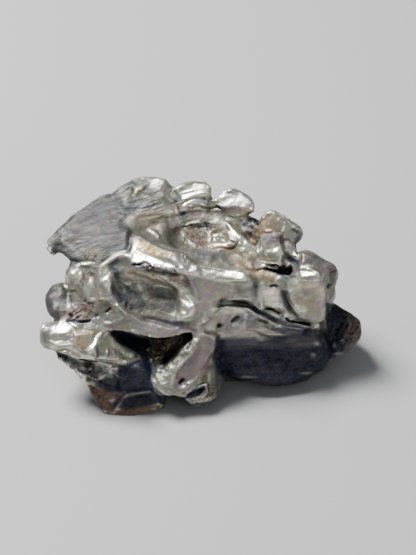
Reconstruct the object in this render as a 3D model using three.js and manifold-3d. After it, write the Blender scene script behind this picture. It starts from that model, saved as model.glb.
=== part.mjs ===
// Iron meteorite: one solid lump of nickel-iron, 41 mm long, lying on its worn underside.
// Millimetres, +Z up, +X to the right of the lump's best side, -Y towards the viewer of that side.
// The lump is built as the metal looks: angular chunks, rounded knuckles and raised lips are joined,
// hollows and clefts are cut out of them, and the whole skin is then weathered.

import * as THREE from "three";
import { ConvexGeometry } from "three/addons/geometries/ConvexGeometry.js";
import { ImprovedNoise } from "three/addons/math/ImprovedNoise.js";
import { SimplifyModifier } from "three/addons/modifiers/SimplifyModifier.js";
import { TessellateModifier } from "three/addons/modifiers/TessellateModifier.js";
import { mergeVertices } from "three/addons/utils/BufferGeometryUtils.js";
import Module from "manifold-3d";

const wasm = await Module();
wasm.setup();

// Driving dimensions.
const CORNER_ROUND = 0.5; // radius of a chunk's corners
const FINE_BAR = 0.9; // radius above which a bar gets rounder sections
const FACET_EDGE = 1.7; // longest triangle edge on the weathered skin
const MAX_SPLITS = 12;
const EVEN_POINTS = 3000; // vertices kept where the joined forms meet in slivers
const SKIN_POINTS = 4600; // vertices kept on the weathered skin
const WEAR = 0.45; // how far a vertex moves to the middle of its neighbours in one pass
const WEAR_PASSES = 2;
const DENT_DEPTH = 0.28;
const DENT_SPACING = 3.4;
const PIT_DEPTH = 0.16;
const PIT_SPACING = 1.5;
const WELD = 1e-4; // vertices closer than this are one vertex
const REST_PLANE = 0; // height of the worn flats that the lump lies on
const CUTTER = 100; // edge of the block that cuts those flats

// --- Shapes ---------------------------------------------------------------------------------

// A copy of a geometry with nothing but its positions.
function bareOf(geometry) {
  const bare = geometry.index ? geometry.toNonIndexed() : geometry.clone();
  bare.deleteAttribute("normal");
  bare.deleteAttribute("uv");
  return bare;
}

// A three.js geometry as a solid that can be joined and cut.
function solid(geometry) {
  const merged = mergeVertices(bareOf(geometry), WELD);
  return new wasm.Manifold(
    new wasm.Mesh({
      numProp: 3,
      vertProperties: merged.attributes.position.array,
      triVerts: new Uint32Array(merged.index.array),
    }),
  );
}

// The corner points of a geometry.
function cornersOf(geometry) {
  const position = geometry.getAttribute("position");
  return Array.from({ length: position.count }, (_, i) => {
    return new THREE.Vector3().fromBufferAttribute(position, i);
  });
}

// An angular chunk: the hull of its corners, each one rounded.
function chunk(corners, round = CORNER_ROUND) {
  const rounded = corners.flatMap(([x, y, z]) => {
    return cornersOf(new THREE.OctahedronGeometry(round).translate(x, y, z));
  });
  return solid(new ConvexGeometry(rounded));
}

// A rounded knuckle: a ball with three radii, turned about X, Y and Z in degrees.
function knuckle([x, y, z], [rx, ry, rz], turn = [0, 0, 0], detail = 2) {
  const [ax, ay, az] = turn.map(THREE.MathUtils.degToRad);
  const ball = new THREE.IcosahedronGeometry(1, detail)
    .scale(rx, ry, rz)
    .rotateX(ax)
    .rotateY(ay)
    .rotateZ(az)
    .translate(x, y, z);
  return solid(ball);
}

// A round bar that swells and thins along stations of [x, y, z, radius]:
// a lip, a fold or a drawn-out knuckle.
function lip(stations) {
  const balls = stations.map(([x, y, z, radius]) => {
    const detail = radius > FINE_BAR ? 1 : 0;
    const ball = new THREE.IcosahedronGeometry(radius, detail).translate(x, y, z);
    return cornersOf(ball);
  });
  return join(balls.slice(1).map((ball, i) => solid(new ConvexGeometry([...balls[i], ...ball]))));
}

function join(solids) {
  return solids.reduce((all, one) => all.add(one));
}

function cut(from, solids) {
  return solids.reduce((left, one) => left.subtract(one), from);
}

// --- The metal's forms ------------------------------------------------------------------------

// The body inside all the forms, from the underside up to the floor of the upper hollow.
function body() {
  return join([
    chunk([
      [-10, -5, 1], [11, -4, -1], [12, 5, -1], [-8, 6, 0],
      [-13, -4, 8], [15, -1, 7], [13, 6.5, 8], [-12, 6.5, 8],
      [-12, -1, 14], [12, 1, 13], [10, 6.5, 15], [-10, 7, 16],
    ]),
    chunk([
      [-10, 1, 15.5], [-7, 6, 17.2], [4, 7, 17], [6.8, 3, 15.6], [6.5, -1, 15], [-2, -1.2, 16],
      [-8, -0.5, 16], [-10, 0, 10], [8, 0, 10], [0, 8, 10],
    ]),
    knuckle([1, -1, 11], [5, 2.2, 3]),
    knuckle([-0.6, 6.7, 14], [3.4, 1.8, 3]),
  ]);
}

// The broad wing that reaches out to the upper left and ends in a hooked tip.
// Its right-hand part rims the hollow.
function wing() {
  return join([
    chunk([
      [-18.7, 3, 17.4], [-17.3, 5, 18], [-15.6, 6.6, 18.8], [-13.8, 7.7, 19.6], [-11.4, 9, 20.4],
      [-9, 10, 21], [-6.5, 10.8, 21.4], [-8.9, 4, 19.4], [-9.2, 0.2, 18.3], [-12.3, -0.6, 16.6],
      [-14.4, -0.8, 16.2], [-16.4, 1.6, 16.7], [-15.6, 3.5, 15.9], [-9, 8, 18.4], [-6, 7, 18.4],
      [-9, 1, 15.5], [-13, 0.5, 14.5],
    ]),
    chunk([
      [-10, 9.2, 20.7], [-8.6, 10.1, 21], [-6.6, 10.9, 21.4], [-5, 10.6, 21.4], [-4, 9.5, 21.1],
      [-3.9, 8, 20.6], [-3, 6.7, 19.3], [-4.7, 5.5, 18.9], [-6.9, 5, 18.7], [-9.4, 3.4, 19.3],
      [-12, 5.6, 19.3], [-11.6, 5, 19], [-9.8, 8, 19], [-4, 8.6, 18.6], [-3, 7, 18], [-8, 5.5, 17],
      [-4.5, 6, 17],
    ], 0.45),
    chunk([
      [-9, 3.6, 18.8], [-6.9, 4.9, 18.6], [-4, 6, 18.4], [-2.8, 6.8, 18.2], [-8.2, 2, 18.6], [-6, 1, 18.2],
      [-4.2, 0.6, 17.6], [-3.4, 3, 17.2], [-3.2, 5.6, 17.6], [-8, 4, 15], [-4, 3, 15],
      [-9, 1.2, 16], [-5, 0.4, 16],
    ], 0.3),
    lip([[-18.6, 2.6, 17.6, 0.75], [-18.6, 1.6, 17.1, 0.6], [-17.9, 1.1, 16.9, 0.5]]),
  ]);
}

// The stacked slabs along the back of the upper hollow, each layer a step lower and further out.
function backSlabs() {
  return join([
    chunk([
      [-3.5, 8.6, 21], [-1.6, 9.7, 21.1], [0.9, 10, 21.1], [1.5, 9.2, 20.7], [1.1, 8.3, 20.4],
      [-1.4, 7.8, 20.4], [-3.2, 7.4, 20.2], [1, 8, 19.8],
    ], 0.5),
    chunk([
      [2.1, 8, 20.3], [2.9, 9, 20.6], [4.8, 8.6, 20.6], [6.2, 8, 20.3], [6.6, 7, 19.7], [6.8, 6.3, 19],
      [3.2, 7.1, 19.2], [5.4, 6.6, 18.9], [2.2, 7.4, 19.4],
    ], 0.5),
    chunk([
      [-3, 6.9, 19.4], [-1, 7.2, 19.6], [1, 7.2, 19.5], [1, 8.5, 19], [-3, 8.5, 19], [-3.6, 7, 18.6],
    ], 0.4),
    chunk([[1.9, 7, 18.4], [4.8, 6.4, 18.3], [6.4, 5.6, 17.8], [6.2, 7, 18], [2, 8.2, 18.4]], 0.4),
    chunk([
      [-4.4, 6.5, 18.4], [-1, 6.6, 18.4], [2, 6.6, 18.2], [5.8, 5.2, 17.2], [6, 7, 16], [-4, 8, 17],
    ], 0.4),
    chunk([[-6, 7, 18.4], [6, 7, 17.5], [7, 9.2, 12], [-7, 9.6, 13], [-4, 9, 19], [4, 8.2, 18.8]], 0.8),
    chunk([
      [5.5, 6.1, 17.3], [6.5, 6.9, 18.2], [7.8, 6.3, 17.5], [7, 4.7, 16.6], [8, 8, 14], [5, 7, 14],
      [8, 5, 14],
    ], 0.4),
  ]);
}

// The block that stands up and leans out behind the right-hand end, with a polished dome on its near face.
function cornerBlock() {
  return join([
    chunk([
      [7.5, 5.2, 19.9], [8.6, 5.6, 20.4], [9.9, 5.2, 20.3], [12.6, 4, 18.5], [12, 3.2, 17.2],
      [10.8, 2.9, 17], [8.6, 3.1, 17.4], [7.4, 3.7, 17.6], [8, 7, 15], [11.5, 6, 15],
    ], 0.45),
    knuckle([9, 2.6, 16.3], [2, 1.9, 1.9], [-20, 0, 0], 3),
    chunk([
      [10.6, 2.6, 17], [11.6, 2.2, 16.4], [11.8, 1.6, 15.2], [10.8, 1.2, 15], [10, 4, 15], [11.6, 5, 15],
    ], 0.4),
  ]);
}

// The square-ended block at the right.
function endBlock() {
  return chunk([
    [12.6, 2.6, 16.5], [14.8, 1.5, 16.4], [16.8, 0.3, 16.1], [12.5, -0.9, 16.1], [14.8, -1.2, 15.9],
    [16.8, -0.4, 14.7], [16, -0.5, 13.5], [16.5, -1, 12.4], [15.6, -1.8, 10.5], [15.2, -2.8, 8.8],
    [11.2, -1.8, 15], [11.4, -2.1, 13], [12.2, -2.4, 11], [13.6, -2.6, 9.4], [12, 3.8, 9],
    [15.5, 2.5, 8.5], [15.8, 2.4, 14],
  ], 0.4);
}

// The polished ridge between the two hollows: a wedge at its left end, a crest, and the wall under it.
function ridge() {
  return join([
    chunk([
      [-8.1, 2.3, 19.4], [-6.2, 1.2, 19], [-4.4, 0.4, 18.5], [-1, -0.8, 18], [-8.4, -0.5, 18.6],
      [-6.6, -1.4, 18.6], [-1, -2.4, 18], [-8.4, 0, 15], [-1, 0, 14],
    ], 0.4),
    lip([
      [-12.2, -0.9, 16.4, 0.55], [-10, 0, 17.6, 0.6], [-8.3, -0.8, 18.4, 0.7], [-6.7, -1.7, 18.3, 0.75],
      [-4.8, -2.1, 18.2, 0.75], [-2.4, -2.5, 18, 0.75], [-0.7, -2.6, 17.9, 0.8], [2.3, -2.6, 17.5, 0.85],
      [4.2, -2.5, 17.2, 0.85], [6.2, -2.6, 16.6, 0.7],
    ]),
    chunk([
      [-1.2, -2.5, 18], [1.8, -2.7, 17.6], [-0.2, -5.2, 10.8], [2, -3.7, 14.2], [1.4, -4.2, 11.6],
      [-1, 0, 12], [3, 0, 12],
    ]),
    chunk([
      [1.8, -2.6, 17.6], [4.8, -2.6, 17.3], [6.3, -2.8, 16.6], [2.3, -3.6, 14.8], [4.2, -3.3, 14.7],
      [5.8, -3.1, 14.4], [6.9, -3.1, 13.2], [2, 0, 14.5], [8, 0, 13.5],
    ], 0.4),
  ]);
}

// The crescent and the fold that stand up from the floor of the upper hollow.
function hollowFolds() {
  return join([
    lip([
      [0.8, 6.4, 17.2, 0.7], [2.4, 6, 17.3, 0.9], [3.6, 4.9, 17.4, 1], [4.3, 3.7, 17.2, 1],
      [5.5, 2.6, 16.8, 1], [6.8, 1.6, 16, 0.9],
    ]),
    lip([[0.6, 2.2, 16.2, 0.5], [1.8, 2.7, 16.5, 0.6], [3.6, 2.7, 16.8, 0.7]]),
  ]);
}

// The shelf from the ridge to the end block, whose lower edge is a thin overhanging lip.
function rightShelf() {
  return chunk([
    [6.3, -2.6, 16.2], [8.6, -2.6, 15.2], [11, -1.8, 14.8], [7, -3.2, 13.2], [9.2, -3.4, 11.2],
    [12.4, -3.4, 9.9], [14.8, -2.9, 8.9], [7, 1, 14], [12, 1, 14], [14, 1, 9], [9, 0, 11],
  ], 0.35);
}

// The pitted tongue that shows below that lip, and the steep front under it.
function tongueAndFront() {
  return join([
    chunk([
      [0.2, -4.6, 10.8], [1.6, -3.9, 11.3], [3, -3.1, 12.4], [5.9, -3, 11.6], [7, -3.2, 10.9],
      [8.5, -3.7, 10.1], [10.4, -4, 9], [7.6, -4.4, 9.1], [4.3, -4.8, 9.4], [2.5, -5.2, 9.6],
      [0.2, -5.4, 10], [0, 0, 8], [10, 1, 7], [3, 0, 11.5],
    ], 0.35),
    chunk([
      [2, -5, 9], [7.6, -4.3, 8.6], [10.6, -4, 8.6], [14.6, -2.8, 7.8], [3.5, -6.4, 4], [8, -6.9, 2.2],
      [12.4, -6, 2], [15, -4.6, 2.4], [17, -2.6, 2.2], [9, -5.6, 0.4], [13, -4.5, 0.4],
      [2, 2, -1], [15, 3, 0], [14, 4, 8],
    ]),
  ]);
}

// The bowl-shaped mass at the front left, down to its thin lower ledge.
function frontBowl() {
  return join([
    chunk([
      [-11.4, -5.2, 10.8], [-7, -5.4, 10.4], [-5.2, -5.6, 10.2], [-2, -5.2, 10.6], [0, -5.1, 10.8],
      [-12, -1.2, 15.6], [-8.2, -1.2, 18], [0, -2.4, 17.4], [-12, 0, 9.5], [1, 0, 9],
    ], 0.4),
    lip([
      [-11.2, -5.3, 10.8, 0.45], [-8.7, -5.4, 10.7, 0.5], [-6.7, -5.8, 10.4, 0.6], [-5.1, -6.1, 10.2, 0.7],
      [-3.5, -5.9, 10.2, 0.6], [-2.2, -5.4, 10.5, 0.5], [-0.1, -5.3, 10.6, 0.5],
    ]),
  ]);
}

// The knuckles at the left end, drawn out into the saddle below them.
function leftKnuckles() {
  return join([
    lip([[-15.4, -0.5, 15.2, 1.5], [-14.6, -2, 13.4, 1.5], [-13.6, -3.2, 12, 1.2]]),
    lip([[-17, -0.6, 12, 1.5], [-18, -1.6, 11.4, 1.95], [-17, -2.6, 10.8, 1.8], [-15.4, -3, 10.8, 1.6]]),
    lip([
      [-11.9, -1, 15.9, 0.95], [-12, -2.1, 14.4, 1.1], [-11.2, -3.4, 12.4, 0.9], [-9.6, -4.6, 10.9, 0.7],
    ]),
    chunk([
      [-15.6, -2.1, 12.7], [-17, -3.1, 10.7], [-11.3, -2.4, 14], [-9.5, -2.6, 12.2], [-9.2, -4.4, 10.9],
      [-12.2, -5.4, 10.6], [-15.8, -4.6, 11], [-16, 1, 9], [-9, 1, 9], [-15, 2, 14], [-13, -1, 15.4],
    ], 0.6),
    chunk([[-16.8, -1, 9], [-15.8, 3, 10], [-13.6, 5, 16], [-14.8, 4, 15.2], [-10, 6, 8], [-12, 6, 17]], 1),
  ]);
}

// The paw that juts out at the lower left, its facet and its lip.
function paw() {
  return join([
    chunk([
      [-17, -4.4, 11.1], [-17.8, -5.8, 10.6], [-15.8, -6.8, 10.6], [-13.8, -7.9, 9.8], [-12, -5.3, 10.2],
      [-18.4, -6.4, 9], [-16.3, -7, 9], [-14.5, -8, 8.8], [-16.8, -3, 8], [-13, -5, 7.5], [-12, -2, 9],
    ], 0.7),
    chunk([
      [-11.8, -5.6, 10.2], [-13.6, -8.2, 9.7], [-12.4, -8.6, 8.9], [-10.2, -9.2, 8.7],
      [-8.9, -8.6, 8.5], [-8, -7.8, 8.5], [-13.4, -8.2, 8.6], [-12, -6, 7], [-9, -6.5, 7.4],
    ], 0.35),
    lip([[-19, -5, 10.1, 1.2], [-19, -5.9, 9.1, 1.1], [-17.4, -6, 9.4, 1.3], [-16.4, -5.2, 10.2, 1.2]]),
    lip([
      [-18.8, -6.4, 8.7, 0.45], [-16.3, -7.3, 8.8, 0.5], [-14.6, -8.3, 8.6, 0.45], [-12.4, -8.9, 8.7, 0.45],
      [-10.2, -9.5, 8.7, 0.45], [-8.9, -8.9, 8.5, 0.4], [-7.8, -7.9, 8.5, 0.35],
    ]),
  ]);
}

// The block under the paw that the lump stands on at the front left, with a ragged edge beside it.
function foot() {
  return join([
    chunk([
      [-14, -8.3, 5.8], [-13.4, -9.2, 3.4], [-12.3, -9.7, 0], [-11, -10, -0.5], [-7.9, -9.9, -0.5],
      [-5, -9.1, -0.5], [-5, -9, 3.5], [-5.6, -8.7, 5.6], [-12.5, -7.8, 7.2], [-8, -7.6, 7.6],
      [-12, 0, -0.5], [-4, 0, -0.5], [-12, 0, 7], [-5, -3, 6],
    ]),
    knuckle([-15.4, -7.2, 6.9], [1.5, 1.2, 1], [0, 30, 0]),
    knuckle([-14.2, -8.2, 5.4], [1.3, 1.1, 0.9], [0, 30, 0]),
    knuckle([-16.6, -6.2, 7.8], [1.4, 1.3, 1]),
  ]);
}

// The flat strut that runs down from the ledge to the foot, and the hooked lobe beside it.
function strut() {
  return join([
    chunk([
      [1.2, -5.8, 10.1], [-0.6, -5.9, 10], [2, -6.1, 9.5], [-2.7, -7, 8.4], [-4.5, -7.9, 7.2],
      [-5.9, -8.7, 6.5], [-5.6, -9.4, 5.1], [-4.7, -10, 3.7], [-3.6, -10.2, 3.1], [-2.2, -10, 3.1],
      [0.8, -7.4, 7], [1.4, -6.8, 8.3], [1, -4, 8.5], [-4.5, -7, 3.4], [-2, -7, 2.6], [1, -5, 6],
    ], 0.35),
    chunk([
      [-1.7, -9.7, 1.5], [-0.2, -10, 1.2], [1.2, -9.4, 1.4], [2, -8.1, 2.2], [2.2, -6.7, 4.4],
      [1.3, -7.2, 6.2], [-2.6, -9.2, 3.4], [0, -5, 1], [2.6, -5.2, 1.6], [2, -4.6, 7], [-3, -5, 3],
    ], 0.5),
  ]);
}

// The rough, rusted lobe low on the right-hand end.
function rustedLobe() {
  return join([
    chunk([
      [17.6, 0.2, 7.6], [19.1, -0.3, 7.2], [20.3, -0.6, 6], [20.2, -1, 4.6], [19, -1.7, 3.2],
      [17.8, -2.4, 2.4], [16.2, -1.8, 2.4], [15.5, 0, 7.2], [19.3, 1.7, 5.6], [19.3, 2, 4],
      [17.6, 2.6, 6], [18, 2.6, 2.6], [15, 4, 2], [15, 4, 6.6],
    ], 0.6),
    lip([[16.4, -1, 2.6, 1.1], [17.6, 0.4, 2.6, 1.2], [17.4, 2.4, 3, 1.4]]),
  ]);
}

// The side that faces away: two angular masses, a slanting rib across them and a few knobs.
function backSide() {
  return join([
    chunk([
      [-12.4, 6, 15], [-8.6, 9.6, 14.4], [-3.4, 9.2, 15.6], [-2, 7, 17], [-12.6, 5.6, 7.4], [-9.4, 9.2, 5.6],
      [-4.4, 10.2, 7.6], [-5.6, 7.4, 1], [-10.4, 5.4, 2.4], [-2, 7.6, 3],
    ], 0.9),
    chunk([
      [1, 8.4, 15.4], [5.6, 9.2, 13], [10.6, 6.8, 13.8], [13.2, 4.8, 9.4], [12, 7, 5], [6.8, 10.2, 6.4],
      [2.2, 9.2, 4.2], [3.5, 7.4, 0], [10, 6.4, -0.5], [12.8, 3.6, 0], [0, 6, 10],
    ], 0.9),
    chunk([
      [-3.6, 8.4, 15.4], [1.6, 8.8, 13], [-3, 9.4, 7], [2.4, 9.2, 5], [-1.6, 7.6, 1.8], [1.6, 7, 1.2],
      [0, 6, 10],
    ], 0.8),
    lip([
      [-3.6, 8.6, 16.8, 0.9], [-1.8, 9.5, 14, 1.3], [0, 10.2, 11.4, 1.4], [2.2, 10.3, 9.4, 1.2],
      [4, 9.7, 7, 1.3], [3.4, 8.8, 4, 1.4],
    ]),
    lip([[-12.6, 4.6, 13.2, 1.5], [-12.8, 5.8, 10.4, 1.4], [-11.8, 6, 7.6, 1.2]]),
    lip([[8.4, 7.6, 14.6, 1.2], [10.4, 7.4, 11.6, 1.3], [12.4, 6.2, 10, 1.2], [14.2, 4, 9.6, 1.1]]),
    knuckle([-7.6, 8.6, 3.6], [1.9, 1.7, 1.6]),
  ]);
}

// Everything that is hollowed out of the joined forms.
function hollows() {
  return [
    // the upper hollow, behind the ridge
    knuckle([0, 3.2, 19.7], [5, 3, 3.1], [16, 0, 0], 3),
    // the front bowl, under the ridge, with flat walls
    chunk([
      [-10.9, -3.6, 18.1], [-8.8, -3.1, 19.2], [-5.3, -3.9, 19.3], [-1.9, -4.8, 17.7], [-1, -5.5, 15.9],
      [-1.4, -6.6, 14.3], [-3.2, -7.4, 13.3], [-6.6, -7.5, 13.1], [-9.5, -6.9, 13.6], [-11.2, -5.3, 15.3],
      [-9.7, -2.2, 14.5], [-6.6, -1.7, 14], [-3.3, -2.2, 13.4], [-2.7, -3.8, 12.2], [-6.9, -3.5, 11.9],
    ], 0.25),
    // the bowl in the right-hand shelf
    knuckle([9.4, -4.6, 13.2], [2.4, 2, 2.6], [20, 0, 20], 3),
    // the dark cleft between paw, ledge and strut
    chunk([
      [-10.6, -8, 9.8], [-6.4, -8, 9], [-4.8, -8, 8.8], [-3.4, -8, 9], [-0.8, -7.4, 9.8],
      [-6, -10, 6.6], [-5.6, -9.5, 5.4], [-3, -9, 8.4], [-7.5, -1.5, 8.6], [-2.4, -1.5, 8.6],
      [-5, -1.5, 6.5],
    ], 0.3),
    // the slit under the right-hand lip
    chunk([
      [2.2, -5, 13.7], [4.4, -5, 13.7], [6.6, -5, 12.6], [9.4, -5.6, 10.5], [14.6, -4.6, 8.6],
      [5.6, -5, 12.6], [2.8, -5, 13.2],
      [3.4, -0.8, 13.2], [6.6, -0.8, 12.4], [12, -0.8, 9],
    ], 0.1),
    // the gap under the corner block
    chunk([
      [7.6, -1, 14.3], [9.2, -1, 13.9], [13, -1, 14], [12.8, 2.6, 14.4], [12.4, 3, 15.2], [9, 1.5, 14.2],
    ], 0.15),
    // the slot inside the hooked lobe
    lip([[-2.1, -10.6, 2.1, 0.3], [-0.8, -10.1, 2.8, 0.45], [0.4, -9.3, 3.4, 0.35]]),
    ...backScoops(),
    ...undersideScoops(),
  ];
}

// The thumbprint scoops in the side that faces away.
function backScoops() {
  return [
    knuckle([-7.6, 11.6, 9.4], [3.3, 2.7, 4], [0, 25, 10], 3),
    knuckle([7.4, 11.2, 11], [2.9, 2.6, 2.3], [10, 0, -12], 3),
    knuckle([-12.2, 8.6, 12.8], [1.7, 2, 1.7], [0, 0, 30]),
    knuckle([11.2, 9, 6], [2.6, 2, 2], [0, 30, -30]),
    knuckle([-1.4, 12.2, 7.4], [2, 2.4, 2.6], [0, 30, 0]),
    knuckle([4.6, 10.6, 15.4], [2, 1.8, 1.4]),
    knuckle([14.8, 3, 12.8], [1.4, 2.2, 2]),
  ];
}

// The hollows in the underside, which leave the lump standing on a few worn flats.
function undersideScoops() {
  return [
    knuckle([-1.6, -1.4, -1.2], [5.6, 4.4, 3.4], [0, 0, 20], 3),
    knuckle([-11.6, 4.6, -0.4], [5, 5, 3.8], [0, 0, -20], 3),
    knuckle([7.6, 1.6, -1.4], [3.4, 2.6, 2.4], [0, 0, 30], 3),
    knuckle([15.4, 5.4, -0.6], [3.6, 3.4, 2.8]),
    knuckle([0.4, 9.8, -0.6], [2.6, 3, 2.4]),
    knuckle([-14.6, -3, 1.4], [3.2, 4.4, 3.4], [0, 20, 0]),
  ];
}

// --- Weathering -------------------------------------------------------------------------------

const noise = new ImprovedNoise();

// One layer of relief at a point: how deep it is, and how far apart its dents lie.
function layer({ x, y, z }, depth, spacing) {
  return depth * noise.noise(x / spacing, y / spacing, z / spacing);
}

// How far the skin stands out at a point: broad dents and finer pitting.
function skinRelief(point) {
  return layer(point, DENT_DEPTH, DENT_SPACING) + layer(point, PIT_DEPTH, PIT_SPACING);
}

// The neighbours of each vertex of an indexed geometry.
function neighboursOf(skin) {
  const neighbours = Array.from({ length: skin.getAttribute("position").count }, () => new Set());
  const corner = skin.index.array;
  for (let i = 0; i < corner.length; i += 3) {
    const [a, b, c] = corner.subarray(i, i + 3);
    neighbours[a].add(b).add(c);
    neighbours[b].add(a).add(c);
    neighbours[c].add(a).add(b);
  }
  return neighbours;
}

// The skin worn softer: each vertex moves part of the way to the middle of its neighbours.
function wear(skin, passes) {
  const position = skin.getAttribute("position");
  const neighbours = neighboursOf(skin);
  const points = cornersOf(skin);
  for (let pass = 0; pass < passes; pass++) {
    const before = points.map((point) => point.clone());
    points.forEach((point, i) => {
      const middle = new THREE.Vector3();
      neighbours[i].forEach((n) => middle.add(before[n]));
      point.lerp(middle.divideScalar(neighbours[i].size), WEAR);
    });
  }
  points.forEach(({ x, y, z }, i) => position.setXYZ(i, x, y, z));
}

// An indexed geometry brought down to about the given number of vertices.
function reduced(geometry, points) {
  const surplus = geometry.getAttribute("position").count - points;
  return new SimplifyModifier().modify(geometry, Math.max(surplus, 0));
}

// The skin split into small triangles, worn, and each vertex moved along its normal by the relief.
async function weather(shape) {
  const mesh = shape.getMesh();
  const joined = new THREE.BufferGeometry()
    .setAttribute("position", new THREE.BufferAttribute(mesh.vertProperties, 3))
    .setIndex(new THREE.BufferAttribute(mesh.triVerts, 1));
  const even = await reduced(mergeVertices(bareOf(joined), WELD), EVEN_POINTS);
  const split = new TessellateModifier(FACET_EDGE, MAX_SPLITS).modify(even.toNonIndexed());
  const fine = mergeVertices(bareOf(split), WELD);
  wear(fine, WEAR_PASSES);
  const skin = await reduced(fine, SKIN_POINTS);
  skin.computeVertexNormals();
  const position = skin.getAttribute("position");
  const normal = skin.getAttribute("normal");
  const point = new THREE.Vector3();
  const out = new THREE.Vector3();
  for (let i = 0; i < position.count; i++) {
    point.fromBufferAttribute(position, i);
    out.fromBufferAttribute(normal, i);
    point.addScaledVector(out, skinRelief(point));
    position.setXYZ(i, point.x, point.y, point.z);
  }
  return solid(skin);
}

// Everything above the plane that the lump rests on.
function aboveRestPlane(shape) {
  const below = new THREE.BoxGeometry(CUTTER, CUTTER, CUTTER).translate(0, 0, REST_PLANE - CUTTER / 2);
  return shape.subtract(solid(below));
}

function geometryOf(shape) {
  const mesh = shape.getMesh();
  const geometry = new THREE.BufferGeometry()
    .setAttribute("position", new THREE.BufferAttribute(mesh.vertProperties, 3))
    .setIndex(new THREE.BufferAttribute(mesh.triVerts, 1));
  geometry.computeVertexNormals();
  return geometry;
}

// --- The lump ---------------------------------------------------------------------------------

const forms = join([
  body(),
  wing(),
  backSlabs(),
  cornerBlock(),
  endBlock(),
  ridge(),
  hollowFolds(),
  rightShelf(),
  tongueAndFront(),
  frontBowl(),
  leftKnuckles(),
  paw(),
  foot(),
  strut(),
  rustedLobe(),
  backSide(),
]);
const lump = aboveRestPlane(await weather(cut(forms, hollows())));

const metal = new THREE.MeshStandardMaterial({ color: 0x9c9892, roughness: 0.35, metalness: 1 });
const meteorite = new THREE.Mesh(geometryOf(lump), metal);
meteorite.name = "meteorite";

// The origin is under the middle of the lump's box.
meteorite.geometry.computeBoundingBox();
const middle = meteorite.geometry.boundingBox.getCenter(new THREE.Vector3());
meteorite.position.set(-middle.x, -middle.y, 0);

const part = new THREE.Group();
part.add(meteorite);

export default part;
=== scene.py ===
"""The look of an iron meteorite: its worn skin, its finishes, and the studio that it stands in.

Lengths in this file are in millimetres, and the finished mesh is in metres.  The marks on the front are placed by
where they show in the camera's frame, which is 416 x 555 pixels, and lie on whatever part of the skin shows there.
"""

import logging
import math
from dataclasses import dataclass
from enum import Enum
from typing import Sequence

import bmesh
import bpy
import numpy as np
from mathutils import Matrix, Vector
from mathutils.bvhtree import BVHTree


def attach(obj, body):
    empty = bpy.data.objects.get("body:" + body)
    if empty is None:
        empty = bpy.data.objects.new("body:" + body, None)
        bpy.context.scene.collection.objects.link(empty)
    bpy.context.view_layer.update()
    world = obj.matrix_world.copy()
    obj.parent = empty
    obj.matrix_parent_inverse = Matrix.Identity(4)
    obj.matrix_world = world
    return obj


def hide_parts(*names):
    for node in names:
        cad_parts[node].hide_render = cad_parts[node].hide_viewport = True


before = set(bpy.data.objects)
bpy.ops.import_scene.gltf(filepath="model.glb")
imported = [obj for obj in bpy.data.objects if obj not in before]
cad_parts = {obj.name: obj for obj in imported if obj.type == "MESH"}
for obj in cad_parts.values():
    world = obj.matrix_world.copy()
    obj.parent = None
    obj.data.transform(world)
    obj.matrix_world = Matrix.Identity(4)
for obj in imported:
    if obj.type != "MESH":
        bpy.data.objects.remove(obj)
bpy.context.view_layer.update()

NODE = "meteorite"
BODY = "root"
MM = 0.001
SEED = 20261
TINY = 1e-9
LOG = logging.getLogger("meteorite")

Array = np.ndarray
Path = tuple[float, ...]
Triple = tuple[float, float, float]


def eased(share: Array) -> Array:
    """Returns share, held between 0 and 1, with soft ends."""
    held = np.clip(share, 0.0, 1.0)
    return held * held * (3.0 - 2.0 * held)


def unit(vectors: Array) -> Array:
    """Returns the vectors, along the last axis, at length one."""
    length = np.linalg.norm(vectors, axis=-1, keepdims=True)
    return vectors / np.maximum(length, TINY)


def placed(name: str, data: bpy.types.ID) -> bpy.types.Object:
    """Puts a new object in the scene.

    Args:
        name: Its name.
        data: Its mesh, light or camera.

    Returns:
        The object.
    """
    made = bpy.data.objects.new(name, data)
    bpy.context.scene.collection.objects.link(made)
    return made


@dataclass(frozen=True)
class Viewpoint:
    """Where the camera stands and what its lens does, in millimetres and pixels."""

    eye: Triple = (0.678, -156.192, 169.724)
    aim: Triple = (0.678, 6.443, 7.089)
    focal: float = 1771.0
    centre: tuple[float, float] = (208.0, 277.5)
    frame_height: float = 555.0
    sensor: float = 36.0

    def axes(self) -> tuple[Array, Array, Array]:
        """Returns the camera's right, up and forward directions."""
        forward = unit(np.array(self.aim) - np.array(self.eye))
        right = unit(np.cross(forward, (0.0, 0.0, 1.0)))
        return right, np.cross(right, forward), forward

    def project(self, points: Array) -> tuple[Array, Array]:
        """Finds where points show.

        Args:
            points: Places in millimetres, one row each.

        Returns:
            The pixels across and the pixels down of each.
        """
        right, up, forward = self.axes()
        away = points - np.array(self.eye)
        depth = away @ forward
        across = self.centre[0] + self.focal * (away @ right) / depth
        down = self.centre[1] - self.focal * (away @ up) / depth
        return across, down

    def rays(self, points: Array) -> Array:
        """Returns the direction from the eye to each point."""
        return unit(points - np.array(self.eye))

    def lens(self) -> float:
        """Returns the focal length for the camera's sensor."""
        return self.focal * self.sensor / self.frame_height


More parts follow.
